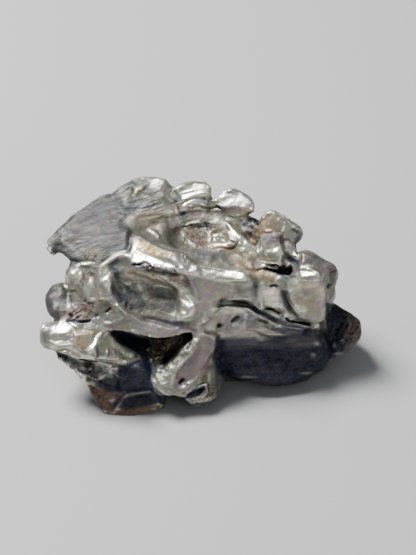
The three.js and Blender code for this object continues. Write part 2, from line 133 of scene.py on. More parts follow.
class Noise:
    """Smooth seeded noise over space, and cells like packed pebbles."""

    entries: int = 256
    gain: float = 1.6

    def __init__(self, seed: int) -> None:
        """Draws the noise's tables.

        Args:
            seed: What the tables are drawn from.
        """
        draw = np.random.default_rng(seed)
        self.order = draw.permutation(self.entries)
        self.slopes = unit(draw.normal(size=(self.entries, 3)))
        self.places = draw.random((self.entries, 3))

    def _entry(self, corner: Array) -> Array:
        """Returns the table entry of each whole-numbered corner."""
        entry = 0
        for axis in range(3):
            entry = self.order[(entry + corner[:, axis] % self.entries) % self.entries]
        return entry

    def smooth(self, points: Array, size: float) -> Array:
        """Finds smooth noise.

        Args:
            points: Places in millimetres, one row each.
            size: How big its lumps are.

        Returns:
            A number of about -1 to 1 for each point.
        """
        scaled = points / size
        whole = np.floor(scaled).astype(int)
        part = scaled - whole
        fade = part**3 * (part * (part * 6.0 - 15.0) + 10.0)
        total = np.zeros(len(points))
        for corner in np.ndindex(2, 2, 2):
            slope = self.slopes[self._entry(whole + corner)]
            reach = np.sum(slope * (part - corner), axis=1)
            share = np.prod(np.where(np.array(corner) == 1, fade, 1.0 - fade), axis=1)
            total += share * reach
        return total * self.gain

    def cells(self, points: Array, size: float) -> tuple[Array, Array]:
        """Finds the pebbles nearest to each point.

        Args:
            points: Places in millimetres, one row each.
            size: How far apart the pebbles are.

        Returns:
            The distance to the nearest pebble's middle and to the next one's, in sizes.
        """
        scaled = points / size
        whole = np.floor(scaled).astype(int)
        first = np.full(len(points), np.inf)
        second = np.full(len(points), np.inf)
        for step in np.ndindex(3, 3, 3):
            cell = whole + step - 1
            middle = cell + self.places[self._entry(cell)]
            gap = np.linalg.norm(middle - scaled, axis=1)
            second = np.minimum(second, np.maximum(first, gap))
            first = np.minimum(first, gap)
        return first, second


def curve_through(path: Path, step: float = 1.2) -> Array:
    """Draws a smooth line through pixel points.

    Args:
        path: The pixels across and down of each point that it goes through, one after another.
        step: About how far apart its own points are.

    Returns:
        The line's points, one row each.
    """
    knots = np.reshape(path, (-1, 2)).astype(float)
    if len(knots) < 3:
        return knots
    ends = np.vstack([2 * knots[0] - knots[1], knots, 2 * knots[-1] - knots[-2]])
    line = []
    for a, b, c, d in zip(ends, ends[1:], ends[2:], ends[3:]):
        count = max(1, int(np.linalg.norm(c - b) / step))
        for t in np.arange(count) / count:
            line.append(
                0.5 * (2 * b + (c - a) * t + (2 * a - 5 * b + 4 * c - d) * t * t + (3 * b - a - 3 * c + d) * t**3)
            )
    return np.array([*line, knots[-1]])


def to_line(across: Array, down: Array, line: Array) -> tuple[Array, Array, Array]:
    """Measures pixels against a line.

    Args:
        across: Pixels across, one a point.
        down: Pixels down, one a point.
        line: The line's points.

    Returns:
        Each point's distance, the side that it is on (1 is right of the way along, -1 is left), and how far along
        the line its nearest place is, from 0 to 1.
    """
    nearest = np.full(len(across), 1e9)
    side = np.ones(len(across))
    along = np.zeros(len(across))
    lengths = np.linalg.norm(np.diff(line, axis=0), axis=1)
    whole = max(lengths.sum(), TINY)
    done = 0.0
    for start, end, length in zip(line, line[1:], lengths):
        way = end - start
        x, y = across - start[0], down - start[1]
        share = np.clip((x * way[0] + y * way[1]) / max(length**2, TINY), 0.0, 1.0)
        gap = np.hypot(x - share * way[0], y - share * way[1])
        closer = gap < nearest
        nearest = np.where(closer, gap, nearest)
        side = np.where(closer, np.sign(way[0] * y - way[1] * x), side)
        along = np.where(closer, (done + share * length) / whole, along)
        done += length
    return nearest, side, along


def in_outline(across: Array, down: Array, outline: Path, soft: float) -> Array:
    """Finds what lies in an outline.

    Args:
        across: Pixels across, one a point.
        down: Pixels down, one a point.
        outline: The pixels across and down of each corner.
        soft: How wide its edge is, in pixels.

    Returns:
        1 inside and 0 outside, and between them over the edge.
    """
    corners = np.reshape([*outline, *outline[:2]], (-1, 2)).astype(float)
    odd = np.zeros(len(across), bool)
    for (x0, y0), (x1, y1) in zip(corners, corners[1:]):
        crosses = (y0 > down) != (y1 > down)
        rise = y1 - y0 if y1 != y0 else TINY
        odd ^= crosses & (across < (x1 - x0) * (down - y0) / rise + x0)
    gap, _, _ = to_line(across, down, corners)
    return eased(0.5 + np.where(odd, gap, -gap) / max(soft, 0.1))


class Layer(Enum):
    """What lies on the metal, each kept as a share from 0 to 1 at every point.  Polish, dull and oxide also carry
    painted highlights and painted shade.
    """

    RUST = "rust"
    # Dark oxide, and also painted shade in hollows, clefts, cracks and under overhangs.
    OXIDE = "oxide"
    MAUVE = "mauve"
    STRAW = "straw"
    OLIVE = "olive"
    # Matte dark metal, and also painted shade that dims areas turned to the light.
    DULL = "dull"
    # Polished metal, and also painted highlights where the front shows bright.
    POLISH = "polish"
    ROUGH = "rough"
    STREAKS = "streaks"
    BANDS = "bands"


RUST, OXIDE, MAUVE, STRAW, OLIVE, DULL, POLISH, ROUGH, STREAKS, BANDS = Layer


class Profile(Enum):
    """The shape of a stroke across its width."""

    ROUND = "round"
    SHARP = "sharp"
    LEDGE = "ledge"


ROUND, SHARP, LEDGE = Profile


@dataclass(frozen=True)
class Facet:
    """A flattened area that faces one way.  A fill starts from the area's nearest points, not from its middle."""

    outline: Path
    facing: Triple
    share: float = 0.8
    soft: float = 2.5
    most: float = 0.45
    fill: bool = False


@dataclass(frozen=True)
class Stroke:
    """A line that is raised or, with a height below 0, sunk, and may be stained.  A ledge is steep on its left."""

    path: Path
    reach: float
    height: float
    profile: Profile = ROUND
    stain: dict[Layer, float] | None = None


@dataclass(frozen=True)
class Oval:
    """The middle of an oval and its half width and half height."""

    across: float
    down: float
    width: float
    height: float


@dataclass(frozen=True)
class Glint(Oval):
    """A small oval that is turned towards the light and brightened with a painted highlight."""

    amount: float
    turn: float = 0.7


@dataclass(frozen=True)
class Dome(Oval):
    """An oval that swells like the back of a spoon, with a groove around it."""

    swell: float
    groove: float = 0.2


@dataclass(frozen=True)
class Smooth:
    """An area that is worn smooth."""

    outline: Path
    passes: int
    soft: float = 4.0


@dataclass(frozen=True)
class Wash:
    """Finishes over an area, some of them painted highlights and painted shade.  An amount below 0 takes one away."""

    outline: Path
    amounts: dict[Layer, float]
    soft: float = 3.0


@dataclass(frozen=True)
class Streak:
    """Finishes along a line, some of them painted highlights and painted shade.  An amount below 0 takes one away."""

    path: Path
    reach: float
    amounts: dict[Layer, float]


@dataclass(frozen=True)
class Grain:
    """Fine ridges that run one way over an area."""

    outline: Path
    heading: tuple[float, float]
    length: float
    spacing: float
    height: float
    soft: float = 4.0


@dataclass(frozen=True)
class Crumb:
    """A rough, crumbled area."""

    outline: Path
    size: float
    height: float
    soft: float = 3.0


GLARE = (-0.26, -0.3, 0.92)


@dataclass
class Skin:
    """The meteorite's surface as points and triangles, which marks move and finishes lie on."""

    node: bpy.types.Object
    view: Viewpoint
    noise: Noise
    coarse: float = 0.31
    coarse_passes: int = 5
    fine_passes: int = 3
    pulls: tuple[float, float] = (0.5, -0.52)
    back_turn: float = 0.08
    clearance: float = 0.08
    least_seen: float = 0.02
    least_slant: float = 0.15
    blur: int = 4
    glint_fall: float = 1.1
    glint_most: float = 0.25
    groove_width: float = 0.14
    round_fall: float = 1.4
    sharp_fall: float = 1.6
    ledge_fall: float = 0.9
    ledge_step: float = 5.0
    end_fade: float = 6.0
    stroke_end: float = 0.15
    streak_end: float = 0.4
    line_margin: float = 3.0
    crack_darkening: float = 0.45
    sky_reach: float = 9.0
    sky_stride: int = 3

    def __post_init__(self) -> None:
        """Covers the solid, which isn't changed, with an even mesh that is finer where the camera sees it."""
        self._take(self._even_mesh())
        self.relax(self.coarse_passes)
        self._take(self._finer(self._in_sight() > 0))
        self.relax(self.fine_passes)
        self.layers = {layer: np.zeros(len(self.points)) for layer in Layer}
        self.look_again()

    def _even_mesh(self) -> bmesh.types.BMesh:
        """Returns the solid's mesh, in millimetres, made of even squares."""
        solid = placed("solid", self.node.data.copy())
        solid.data.transform(Matrix.Scale(1.0 / MM, 4))
        remesh = solid.modifiers.new("even", "REMESH")
        remesh.mode = "VOXEL"
        remesh.voxel_size = self.coarse
        result = bpy.data.meshes.new_from_object(solid.evaluated_get(bpy.context.evaluated_depsgraph_get()))
        bpy.data.objects.remove(solid)
        work = bmesh.new()
        work.from_mesh(result)
        bpy.data.meshes.remove(result)
        return work

    def _take(self, work: bmesh.types.BMesh) -> None:
        """Reads the mesh into arrays and lets it go."""
        bmesh.ops.triangulate(work, faces=work.faces[:])
        self.points = np.array([vertex.co for vertex in work.verts])
        work.verts.index_update()
        self.triangles = np.array([[vertex.index for vertex in face.verts] for face in work.faces])
        edges = np.array([[vertex.index for vertex in edge.verts] for edge in work.edges])
        work.free()
        self.here = np.concatenate([edges[:, 0], edges[:, 1]])
        self.there = np.concatenate([edges[:, 1], edges[:, 0]])
        self.count = np.bincount(self.here, minlength=len(self.points)).astype(float)

    def _finer(self, shown: Array) -> bmesh.types.BMesh:
        """Returns the mesh with the faces around the shown points cut in four."""
        work = bmesh.new()
        made = [work.verts.new(point) for point in self.points]
        for triangle in self.triangles:
            work.faces.new([made[index] for index in triangle])
        work.verts.index_update()
        edges = [edge for edge in work.edges if shown[edge.verts[0].index] and shown[edge.verts[1].index]]
        bmesh.ops.subdivide_edges(work, edges=edges, cuts=1, use_grid_fill=True)
        return work

    def mean_around(self, values: Array) -> Array:
        """Returns the mean of each point's neighbours' values."""
        if values.ndim == 1:
            total = np.bincount(self.here, values[self.there], minlength=len(self.points))
            return total / self.count
        return np.stack([self.mean_around(values[:, axis]) for axis in range(values.shape[1])], axis=1)

    def spread(self, values: Array, passes: int) -> Array:
        """Returns the values, softened that many times."""
        for _ in range(passes):
            values = 0.5 * values + 0.5 * self.mean_around(values)
        return values

    def relax(self, passes: int, where: Array | None = None) -> None:
        """Smooths the surface without shrinking it.

        Args:
            passes: How many times.
            where: The share of the smoothing that each point gets.
        """
        share = 1.0 if where is None else where[:, None]
        for _ in range(passes):
            for pull in self.pulls:
                self.points = self.points + share * pull * (self.mean_around(self.points) - self.points)

    def normals(self) -> Array:
        """Returns the way that the surface faces at each point."""
        corners = self.points[self.triangles]
        face = np.cross(corners[:, 1] - corners[:, 0], corners[:, 2] - corners[:, 0])
        total = np.zeros_like(self.points)
        for axis in range(3):
            for corner in range(3):
                total[:, axis] += np.bincount(self.triangles[:, corner], face[:, axis], minlength=len(self.points))
        return unit(total)

    def _tree(self) -> BVHTree:
        """Returns the surface as a tree that rays can be cast at."""
        return BVHTree.FromPolygons(self.points.tolist(), self.triangles.tolist())

    def _in_sight(self) -> Array:
        """Returns 1 where the camera sees a point and 0 where it doesn't."""
        facing = self.normals()
        rays = self.view.rays(self.points)
        turned = -np.sum(facing * rays, axis=1)
        seen = turned > self.back_turn
        tree = self._tree()
        for index in np.flatnonzero(seen):
            start = Vector(self.points[index] + self.clearance * facing[index] - self.clearance * rays[index])
            seen[index] = tree.ray_cast(start, Vector(-rays[index]))[0] is None
        return seen.astype(float)

    def look_again(self) -> None:
        """Works out afresh where each point shows and how plainly it is seen."""
        self.across, self.down = self.view.project(self.points)
        self.seen = self.spread(self._in_sight(), 2)
        self.steady = self.normals()
        for _ in range(self.blur):
            self.steady = unit(self.mean_around(self.steady))

    def near(self, path: Path, margin: float) -> Array:
        """Finds the seen points near a path.

        Args:
            path: The pixels across and down of each of its points.
            margin: How far around the path's box to look, in pixels.

        Returns:
            The points' places in the list.
        """
        knots = np.reshape(path, (-1, 2))
        low, high = knots.min(axis=0) - margin, knots.max(axis=0) + margin
        inside = (self.across > low[0]) & (self.across < high[0]) & (self.down > low[1]) & (self.down < high[1])
        return np.flatnonzero(inside & (self.seen > self.least_seen))

    def area(self, outline: Path, soft: float) -> tuple[Array, Array]:
        """Finds the points in an outline.

        Args:
            outline: The outline.
            soft: How wide its edge is, in pixels.

        Returns:
            The points' places in the list, and how much each belongs to the outline.
        """
        chosen = self.near(outline, soft)
        share = in_outline(self.across[chosen], self.down[chosen], outline, soft)
        return chosen, share * self.seen[chosen]

    def _flatten(self, chosen: Array, share: Array, facing: Triple, most: float, fill: bool = False) -> None:
        """Turns the chosen points to face a way, by moves along the camera's rays.

        Args:
            chosen: The points.
            share: How much of the move each gets.
            facing: The way.
            most: About how far a point may move.
            fill: Whether the plane starts from the nearest points, so that a hollow is filled up.
        """
        if share.sum() < 1.0:
            return
        way = unit(np.array(facing))
        weight = share
        if fill:
            height = self.points[chosen] @ way
            weight = share * (height > np.quantile(height[share > 0.3], 0.75))
        middle = (self.points[chosen] * weight[:, None]).sum(axis=0) / weight.sum()
        rays = self.view.rays(self.points[chosen])
        slant = rays @ way
        slant = np.where(np.abs(slant) < self.least_slant, -self.least_slant, slant)
        move = most * np.tanh(((middle - self.points[chosen]) @ way) / slant / most)
        self.points[chosen] += (share * move)[:, None] * rays

    def _raise(self, chosen: Array, height: Array) -> None:
        """Moves the chosen points out of the surface by their heights."""
        self.points[chosen] += height[:, None] * self.steady[chosen]

    def _ends(self, along: Array, least: float) -> Array:
        """Returns how strong a line is at places along it: least at its ends, and 1 between them."""
        return eased(self.end_fade * np.minimum(along, 1.0 - along) + least)

    def facet(self, mark: Facet) -> None:
        """Flattens an area so that it faces the mark's way."""
        chosen, share = self.area(mark.outline, mark.soft)
        self._flatten(chosen, mark.share * share, mark.facing, mark.most, mark.fill)

    def _oval(self, mark: Oval) -> tuple[Array, Array]:
        """Returns the points in and around an oval and how far each is from its middle, with 1 at its edge."""
        chosen = self.near((mark.across, mark.down), 2.0 * max(mark.width, mark.height))
        over = (self.across[chosen] - mark.across) / mark.width
        down = (self.down[chosen] - mark.down) / mark.height
        return chosen, np.hypot(over, down)

    def dome(self, mark: Dome) -> None:
        """Swells an oval."""
        chosen, gap = self._oval(mark)
        swell = np.sqrt(np.clip(1.0 - gap**2, 0.0, 1.0))
        swell -= mark.groove * np.exp(-(((gap - 1.0) / self.groove_width) ** 2))
        self._raise(chosen, mark.swell * swell * self.seen[chosen])

    def smooth(self, mark: Smooth) -> None:
        """Wears an area smooth."""
        chosen, share = self.area(mark.outline, mark.soft)
        where = np.zeros(len(self.points))
        where[chosen] = share
        self.relax(mark.passes, where)

    def turn(self, mark: Glint) -> None:
        """Turns a glint towards the light."""
        chosen, gap = self._oval(mark)
        share = mark.turn * np.exp(-self.glint_fall * gap**2) * self.seen[chosen]
        self._flatten(chosen, share, GLARE, self.glint_most)

    def paint_highlight(self, mark: Glint) -> None:
        """Paints a glint's highlight: polish laid on the oval, with oxide, dull and rust taken off."""
        chosen, gap = self._oval(mark)
        share = np.exp(-self.glint_fall * gap**2) * self.seen[chosen]
        for layer in (OXIDE, DULL, RUST):
            self.lay(layer, chosen, -mark.amount * share)
        self.lay(POLISH, chosen, mark.amount * share)

    def stroke(self, mark: Stroke) -> None:
        """Raises or sinks a line."""
        chosen = self.near(mark.path, self.line_margin * mark.reach)
        gap, side, along = to_line(self.across[chosen], self.down[chosen], curve_through(mark.path))
        ratio = gap / mark.reach
        if mark.profile is ROUND:
            rise = np.exp(-self.round_fall * ratio**2)
        elif mark.profile is SHARP:
            rise = np.exp(-self.sharp_fall * ratio)
        else:
            rise = np.where(side > 0, np.exp(-self.ledge_fall * ratio), np.exp(-(ratio * self.ledge_step) ** 2))
        rise = rise * self._ends(along, self.stroke_end)
        self._raise(chosen, mark.height * rise * self.seen[chosen])

    def grain(self, mark: Grain) -> None:
        """Draws fine ridges that run one way."""
        chosen, share = self.area(mark.outline, mark.soft)
        way = unit(np.array(mark.heading, float))
        flat = np.stack([self.across[chosen], self.down[chosen]], axis=1)
        run = flat @ way / mark.length
        over = flat @ np.array([-way[1], way[0]]) / mark.spacing
        height = np.zeros(len(chosen))
        for octave, weight in ((1.0, 1.0), (2.1, 0.5)):
            where = np.stack([run * octave, over * octave, np.full(len(chosen), 7.3 * octave)], axis=1)
            height += weight * (1.0 - 2.0 * np.abs(self.noise.smooth(where, 1.0)))
        self._raise(chosen, mark.height * share * (height - 0.6))

    def crumb(self, mark: Crumb) -> None:
        """Breaks an area up into crumbs with cracks between them, and darkens the cracks."""
        chosen, share = self.area(mark.outline, mark.soft)
        places = self.points[chosen]
        bent = [self.noise.smooth(places + shift, 2.0 * mark.size) for shift in (0.0, 41.0, 83.0)]
        places = places + 0.8 * mark.size * np.stack(bent, axis=1)
        height = np.zeros(len(chosen))
        for octave, weight in ((0.5, 0.8), (1.0, 1.0), (2.1, 0.5)):
            height += weight * (1.0 - 2.6 * np.abs(self.noise.smooth(places * octave, mark.size)))
        height -= 1.2
        self._raise(chosen, mark.height * share * height)
        self.lay(ROUGH, chosen, 0.8 * share)
        self.lay(OXIDE, chosen, self.crack_darkening * share * eased(-0.9 * height - 0.2))

    def lay(self, layer: Layer, chosen: Array, amount: Array) -> None:
        """Adds a finish to points.

        Args:
            layer: The finish.
            chosen: The points' places in the list.
            amount: How much each gets.  Below 0, it is taken away.
        """
        now = self.layers[layer][chosen]
        more = now + (1.0 - now) * np.clip(amount, 0.0, 1.0)
        self.layers[layer][chosen] = more * (1.0 - np.clip(-amount, 0.0, 1.0))

    def wash(self, mark: Wash) -> None:
        """Lays a finish over an area."""
        chosen, share = self.area(mark.outline, mark.soft)
        for layer, amount in mark.amounts.items():
            self.lay(layer, chosen, amount * share)

    def streak(self, mark: Streak) -> None:
        """Lays a finish along a line."""
        chosen = self.near(mark.path, self.line_margin * mark.reach)
        gap, _, along = to_line(self.across[chosen], self.down[chosen], curve_through(mark.path))
        share = np.exp(-self.round_fall * (gap / mark.reach) ** 2) * self._ends(along, self.streak_end)
        for layer, amount in mark.amounts.items():
            self.lay(layer, chosen, amount * share * self.seen[chosen])

    def bend_out(self, passes: int) -> Array:
        """Returns how far each point stands out from its surroundings, in millimetres."""
        return np.sum((self.points - self.spread(self.points, passes)) * self.steady, axis=1)

    def openness(self, rays: int) -> Array:
        """Measures how much of the sky each point sees, from 0 in a deep hollow to 1.

        Args:
            rays: How many directions are tried at each point.

        Returns:
            The share of the directions that are open.
        """
        draw = np.random.default_rng(SEED)
        facing = self.normals()
        tree = self._tree()
        open_share = np.zeros(len(self.points))
        tries = unit(draw.normal(size=(rays, 3)))
        for index in range(0, len(self.points), self.sky_stride):
            start = Vector(self.points[index] + 0.1 * facing[index])
            hits = 0
            for way in tries:
                turned = way if way @ facing[index] > 0 else -way
                hits += tree.ray_cast(start, Vector(turned), self.sky_reach)[0] is not None
            open_share[index] = 1.0 - hits / rays
        known = np.zeros(len(self.points))
        known[::self.sky_stride] = 1.0
        for _ in range(self.blur):
            open_share = open_share + self.mean_around(open_share)
            known = known + self.mean_around(known)
        return open_share / np.maximum(known, TINY)

    def as_object(self, name: str) -> bpy.types.Object:
        """Returns the finished skin as an object in metres, with its finishes as attributes."""
        mesh = bpy.data.meshes.new(name)
        mesh.from_pydata((self.points * MM).tolist(), [], self.triangles.tolist())
        mesh.shade_smooth()
        for layer, values in self.layers.items():
            mesh.attributes.new(layer.value, "FLOAT", "POINT").data.foreach_set("value", values.astype(np.float32))
        return placed(name, mesh)


def each(kind: type, *rows: tuple) -> tuple:
    """Returns one mark of a kind for each row of its fields."""
    return tuple(kind(*row) for row in rows)


class Form:
    """One form of the front, with the marks and the finishes on it, including painted highlights and painted shade.
    """

    smooths: Sequence[Smooth] = ()
    domes: Sequence[Dome] = ()
    facets: Sequence[Facet] = ()
    glints: Sequence[Glint] = ()
    strokes: Sequence[Stroke] = ()
    grains: Sequence[Grain] = ()
    crumbs: Sequence[Crumb] = ()
    washes: Sequence[Wash] = ()
    streaks: Sequence[Streak] = ()

    def carve(self, skin: Skin) -> None:
        """Cuts this form's marks into the skin."""
        for marks, cut in (
            (self.smooths, skin.smooth), (self.facets, skin.facet), (self.domes, skin.dome),
            (self.grains, skin.grain), (self.strokes, skin.stroke), (self.glints, skin.turn),
        ):
            for mark in marks:
                cut(mark)

    def crumble(self, skin: Skin) -> None:
        """Breaks up this form's rough areas."""
        for crumb in self.crumbs:
            skin.crumb(crumb)

    def stain(self, skin: Skin) -> None:
        """Lays this form's finishes, with their painted highlights and painted shade."""
        stained = [Streak(stroke.path, stroke.reach, stroke.stain) for stroke in self.strokes if stroke.stain]
        streaks = (*stained, *self.streaks)
        for marks, lay in ((self.washes, skin.wash), (streaks, skin.streak), (self.glints, skin.paint_highlight)):
            for mark in marks:
                lay(mark)


class Wing(Form):
    """The broad blade at the upper left, streaked towards its top edge, with a hooked tip."""

    outline: Path = (44, 240, 90, 198, 128, 180, 170, 174, 180, 212, 150, 226, 134, 232, 133, 258, 96, 270, 50, 256)
    smooths = each(
        Smooth, ((42, 244, 56, 228, 92, 203, 128, 182, 130, 256, 96, 268, 52, 256), 12, 5),
        ((128, 182, 150, 175, 168, 184, 176, 210, 150, 222, 128, 226), 12),
        ((112, 198, 140, 192, 168, 194, 176, 212, 134, 226, 114, 228), 24, 5),
    )
    facets = each(
        Facet, ((145, 189, 149, 184, 156, 179.5, 163, 178, 166, 182, 151, 189), GLARE, 0.6, 2.5, 0.35),
        ((129, 196, 135, 190, 143, 186.5, 144, 189, 137, 193, 132, 197), GLARE, 0.5, 2, 0.25),
        ((46, 238, 52, 232, 60, 235, 62, 243, 48, 249), (-0.2, -0.52, 0.83), 0.6, 3, 0.4),
        ((122, 200, 150, 196, 174, 203, 176, 213, 134, 228, 122, 226), (-0.15, -0.5, 0.85), 0.4, 10, 0.7),
        ((66, 242, 128, 230, 128, 254, 100, 260, 82, 258), (-0.25, -0.46, 0.85), 0.6, 6),
    )
    glints = each(Glint, (85, 264, 5, 1.6, 0.5), (158, 212, 8, 1.2, 0.4, 0.3))
    strokes = each(
        Stroke, ((46, 243, 47, 249, 52, 253, 57, 254), 2, 0.07),
        ((134, 190, 141, 187, 149, 183, 157, 179, 163, 179), 3, 0.11), ((122, 195, 127, 191, 133, 188), 1.6, 0.08),
        ((111, 191, 114, 197), 1.6, 0.05), ((144, 198, 152, 194, 158, 190, 163, 186), 1.6, 0.1, SHARP),
        ((143, 203, 160, 198, 167, 196), 1.4, 0.07, SHARP), ((141, 208, 148, 205), 1.2, 0.07),
        ((120, 213, 130, 213), 1.4, 0.07), ((145, 216, 151, 213, 166, 209), 1.3, 0.1, SHARP),
        ((136, 219, 146, 217, 158, 214), 1.3, -0.06), ((132, 214, 142, 212, 154, 208), 1.2, -0.06),
        ((140, 222, 152, 219, 166, 214), 1.2, 0.06), ((107, 222, 114, 220, 122, 219), 1.8, 0.05),
        ((76, 243, 82, 242, 89, 240), 1.2, 0.05), ((136, 194, 145, 191, 155, 186, 164, 182), 1.4, -0.08),
        ((119, 205, 132, 203, 142, 200, 152, 197), 1.4, -0.06),
        ((118, 210, 128, 209, 140, 209, 152, 207, 164, 203), 1.4, -0.07),
        ((100, 268, 108, 262, 117, 256.5, 124, 255, 130, 256), 2, 0.2), ((84, 258, 88, 261, 95, 262), 1.2, -0.08),
        ((166, 196, 171, 199, 175, 204), 1.6, 0.06),
    )
    grains = each(Grain, ((132, 184, 163, 178, 172, 206, 140, 216, 118, 214, 118, 196), (1, -0.4), 18, 4.5, 0.022, 6))
    crumbs = each(Crumb, ((80, 252, 98, 252, 98, 266, 78, 263), 0.6, 0.02))
    # The dull wash is partly matte metal and partly painted shade on the upturned blade; the polish washes are partly
    # painted highlights.
    washes = each(
        Wash, (outline, {DULL: 0.97}, 4), (outline, {OXIDE: 0.16, STREAKS: 0.8}, 5),
        ((50, 236, 64, 236, 66, 250, 52, 250), {OXIDE: -0.7}),
        ((100, 206, 128, 204, 128, 250, 96, 240), {OLIVE: 0.25}, 8),
        ((128, 212, 178, 200, 182, 212, 134, 231, 128, 226), {DULL: -0.75}, 5),
        ((128, 214, 178, 204, 182, 212, 134, 231), {OLIVE: 0.45, STRAW: 0.25}, 4),
        ((76, 240, 100, 240, 108, 250, 84, 256), {DULL: -0.15}, 5),
        ((162, 206, 176, 204, 178, 214, 164, 216), {POLISH: 0.45}, 4),
        ((82, 254, 97, 254, 97, 262, 82, 262), {RUST: 0.15}),
        ((134, 180, 160, 174, 168, 180, 164, 188, 150, 192, 136, 192), {DULL: -0.45}, 5),
        ((108, 266, 118, 258, 123, 260), {OXIDE: 0.5}, 1.5),
        ((108, 267, 120, 258, 130, 260, 129, 267), {OLIVE: 0.8}, 2),
        ((60, 238, 80, 240, 104, 250, 98, 262, 76, 258, 66, 250), {DULL: -0.25, OLIVE: 0.2}, 5),
        ((86, 206, 128, 186, 132, 200, 96, 220), {OXIDE: 0.1}, 8),
        ((122, 196, 152, 194, 156, 207, 124, 210), {OXIDE: -0.2, DULL: -0.1}, 4),
        ((154, 181, 167, 181, 171, 198, 156, 198), {DULL: -0.3}, 4),
        ((128, 206, 144, 205, 144, 216, 128, 217), {DULL: 0.25, OXIDE: 0.1}),
        ((131, 218, 144, 216, 164, 216, 164, 223, 148, 234, 134, 232), {DULL: -0.4, OXIDE: -0.4, POLISH: 0.1}),
        ((114, 204, 128, 204, 128, 252, 114, 250), {OXIDE: 0.14}, 4),
        ((110, 190, 126, 188, 128, 198, 112, 200), {DULL: -0.2}, 4),
        ((46, 233, 58, 233, 58, 246, 46, 246), {OXIDE: 0.1}, 4),
        ((70, 222, 98, 200, 120, 196, 124, 236, 112, 250, 88, 248, 72, 236), {OLIVE: 0.35, RUST: 0.05, OXIDE: 0.36},
            8),
        ((152, 193, 172, 193, 176, 205, 156, 206), {OXIDE: -0.5, DULL: -0.5}, 4),
        ((168, 210, 182, 209, 182, 226, 170, 228), {OXIDE: -0.6, POLISH: 0.4}),
        ((58, 240, 80, 243, 80, 254, 66, 252), {OXIDE: 0.25}, 4),
        ((110, 252, 126, 250, 126, 256, 114, 258), {DULL: -0.3, POLISH: 0.15}, 2),
    )
    # The polish streaks paint the highlights along the top edge and the lip.
    streaks = each(
        Streak, ((147, 187, 154, 182.5, 163, 179.5), 3, {DULL: -0.8, POLISH: 0.8}),
        ((131, 195, 138, 190, 143, 187.5), 2, {DULL: -0.6, STRAW: 0.5}),
        ((100, 268, 108, 262, 117, 256.5, 124, 255, 130, 256), 2.4, {POLISH: 0.9}),
    )


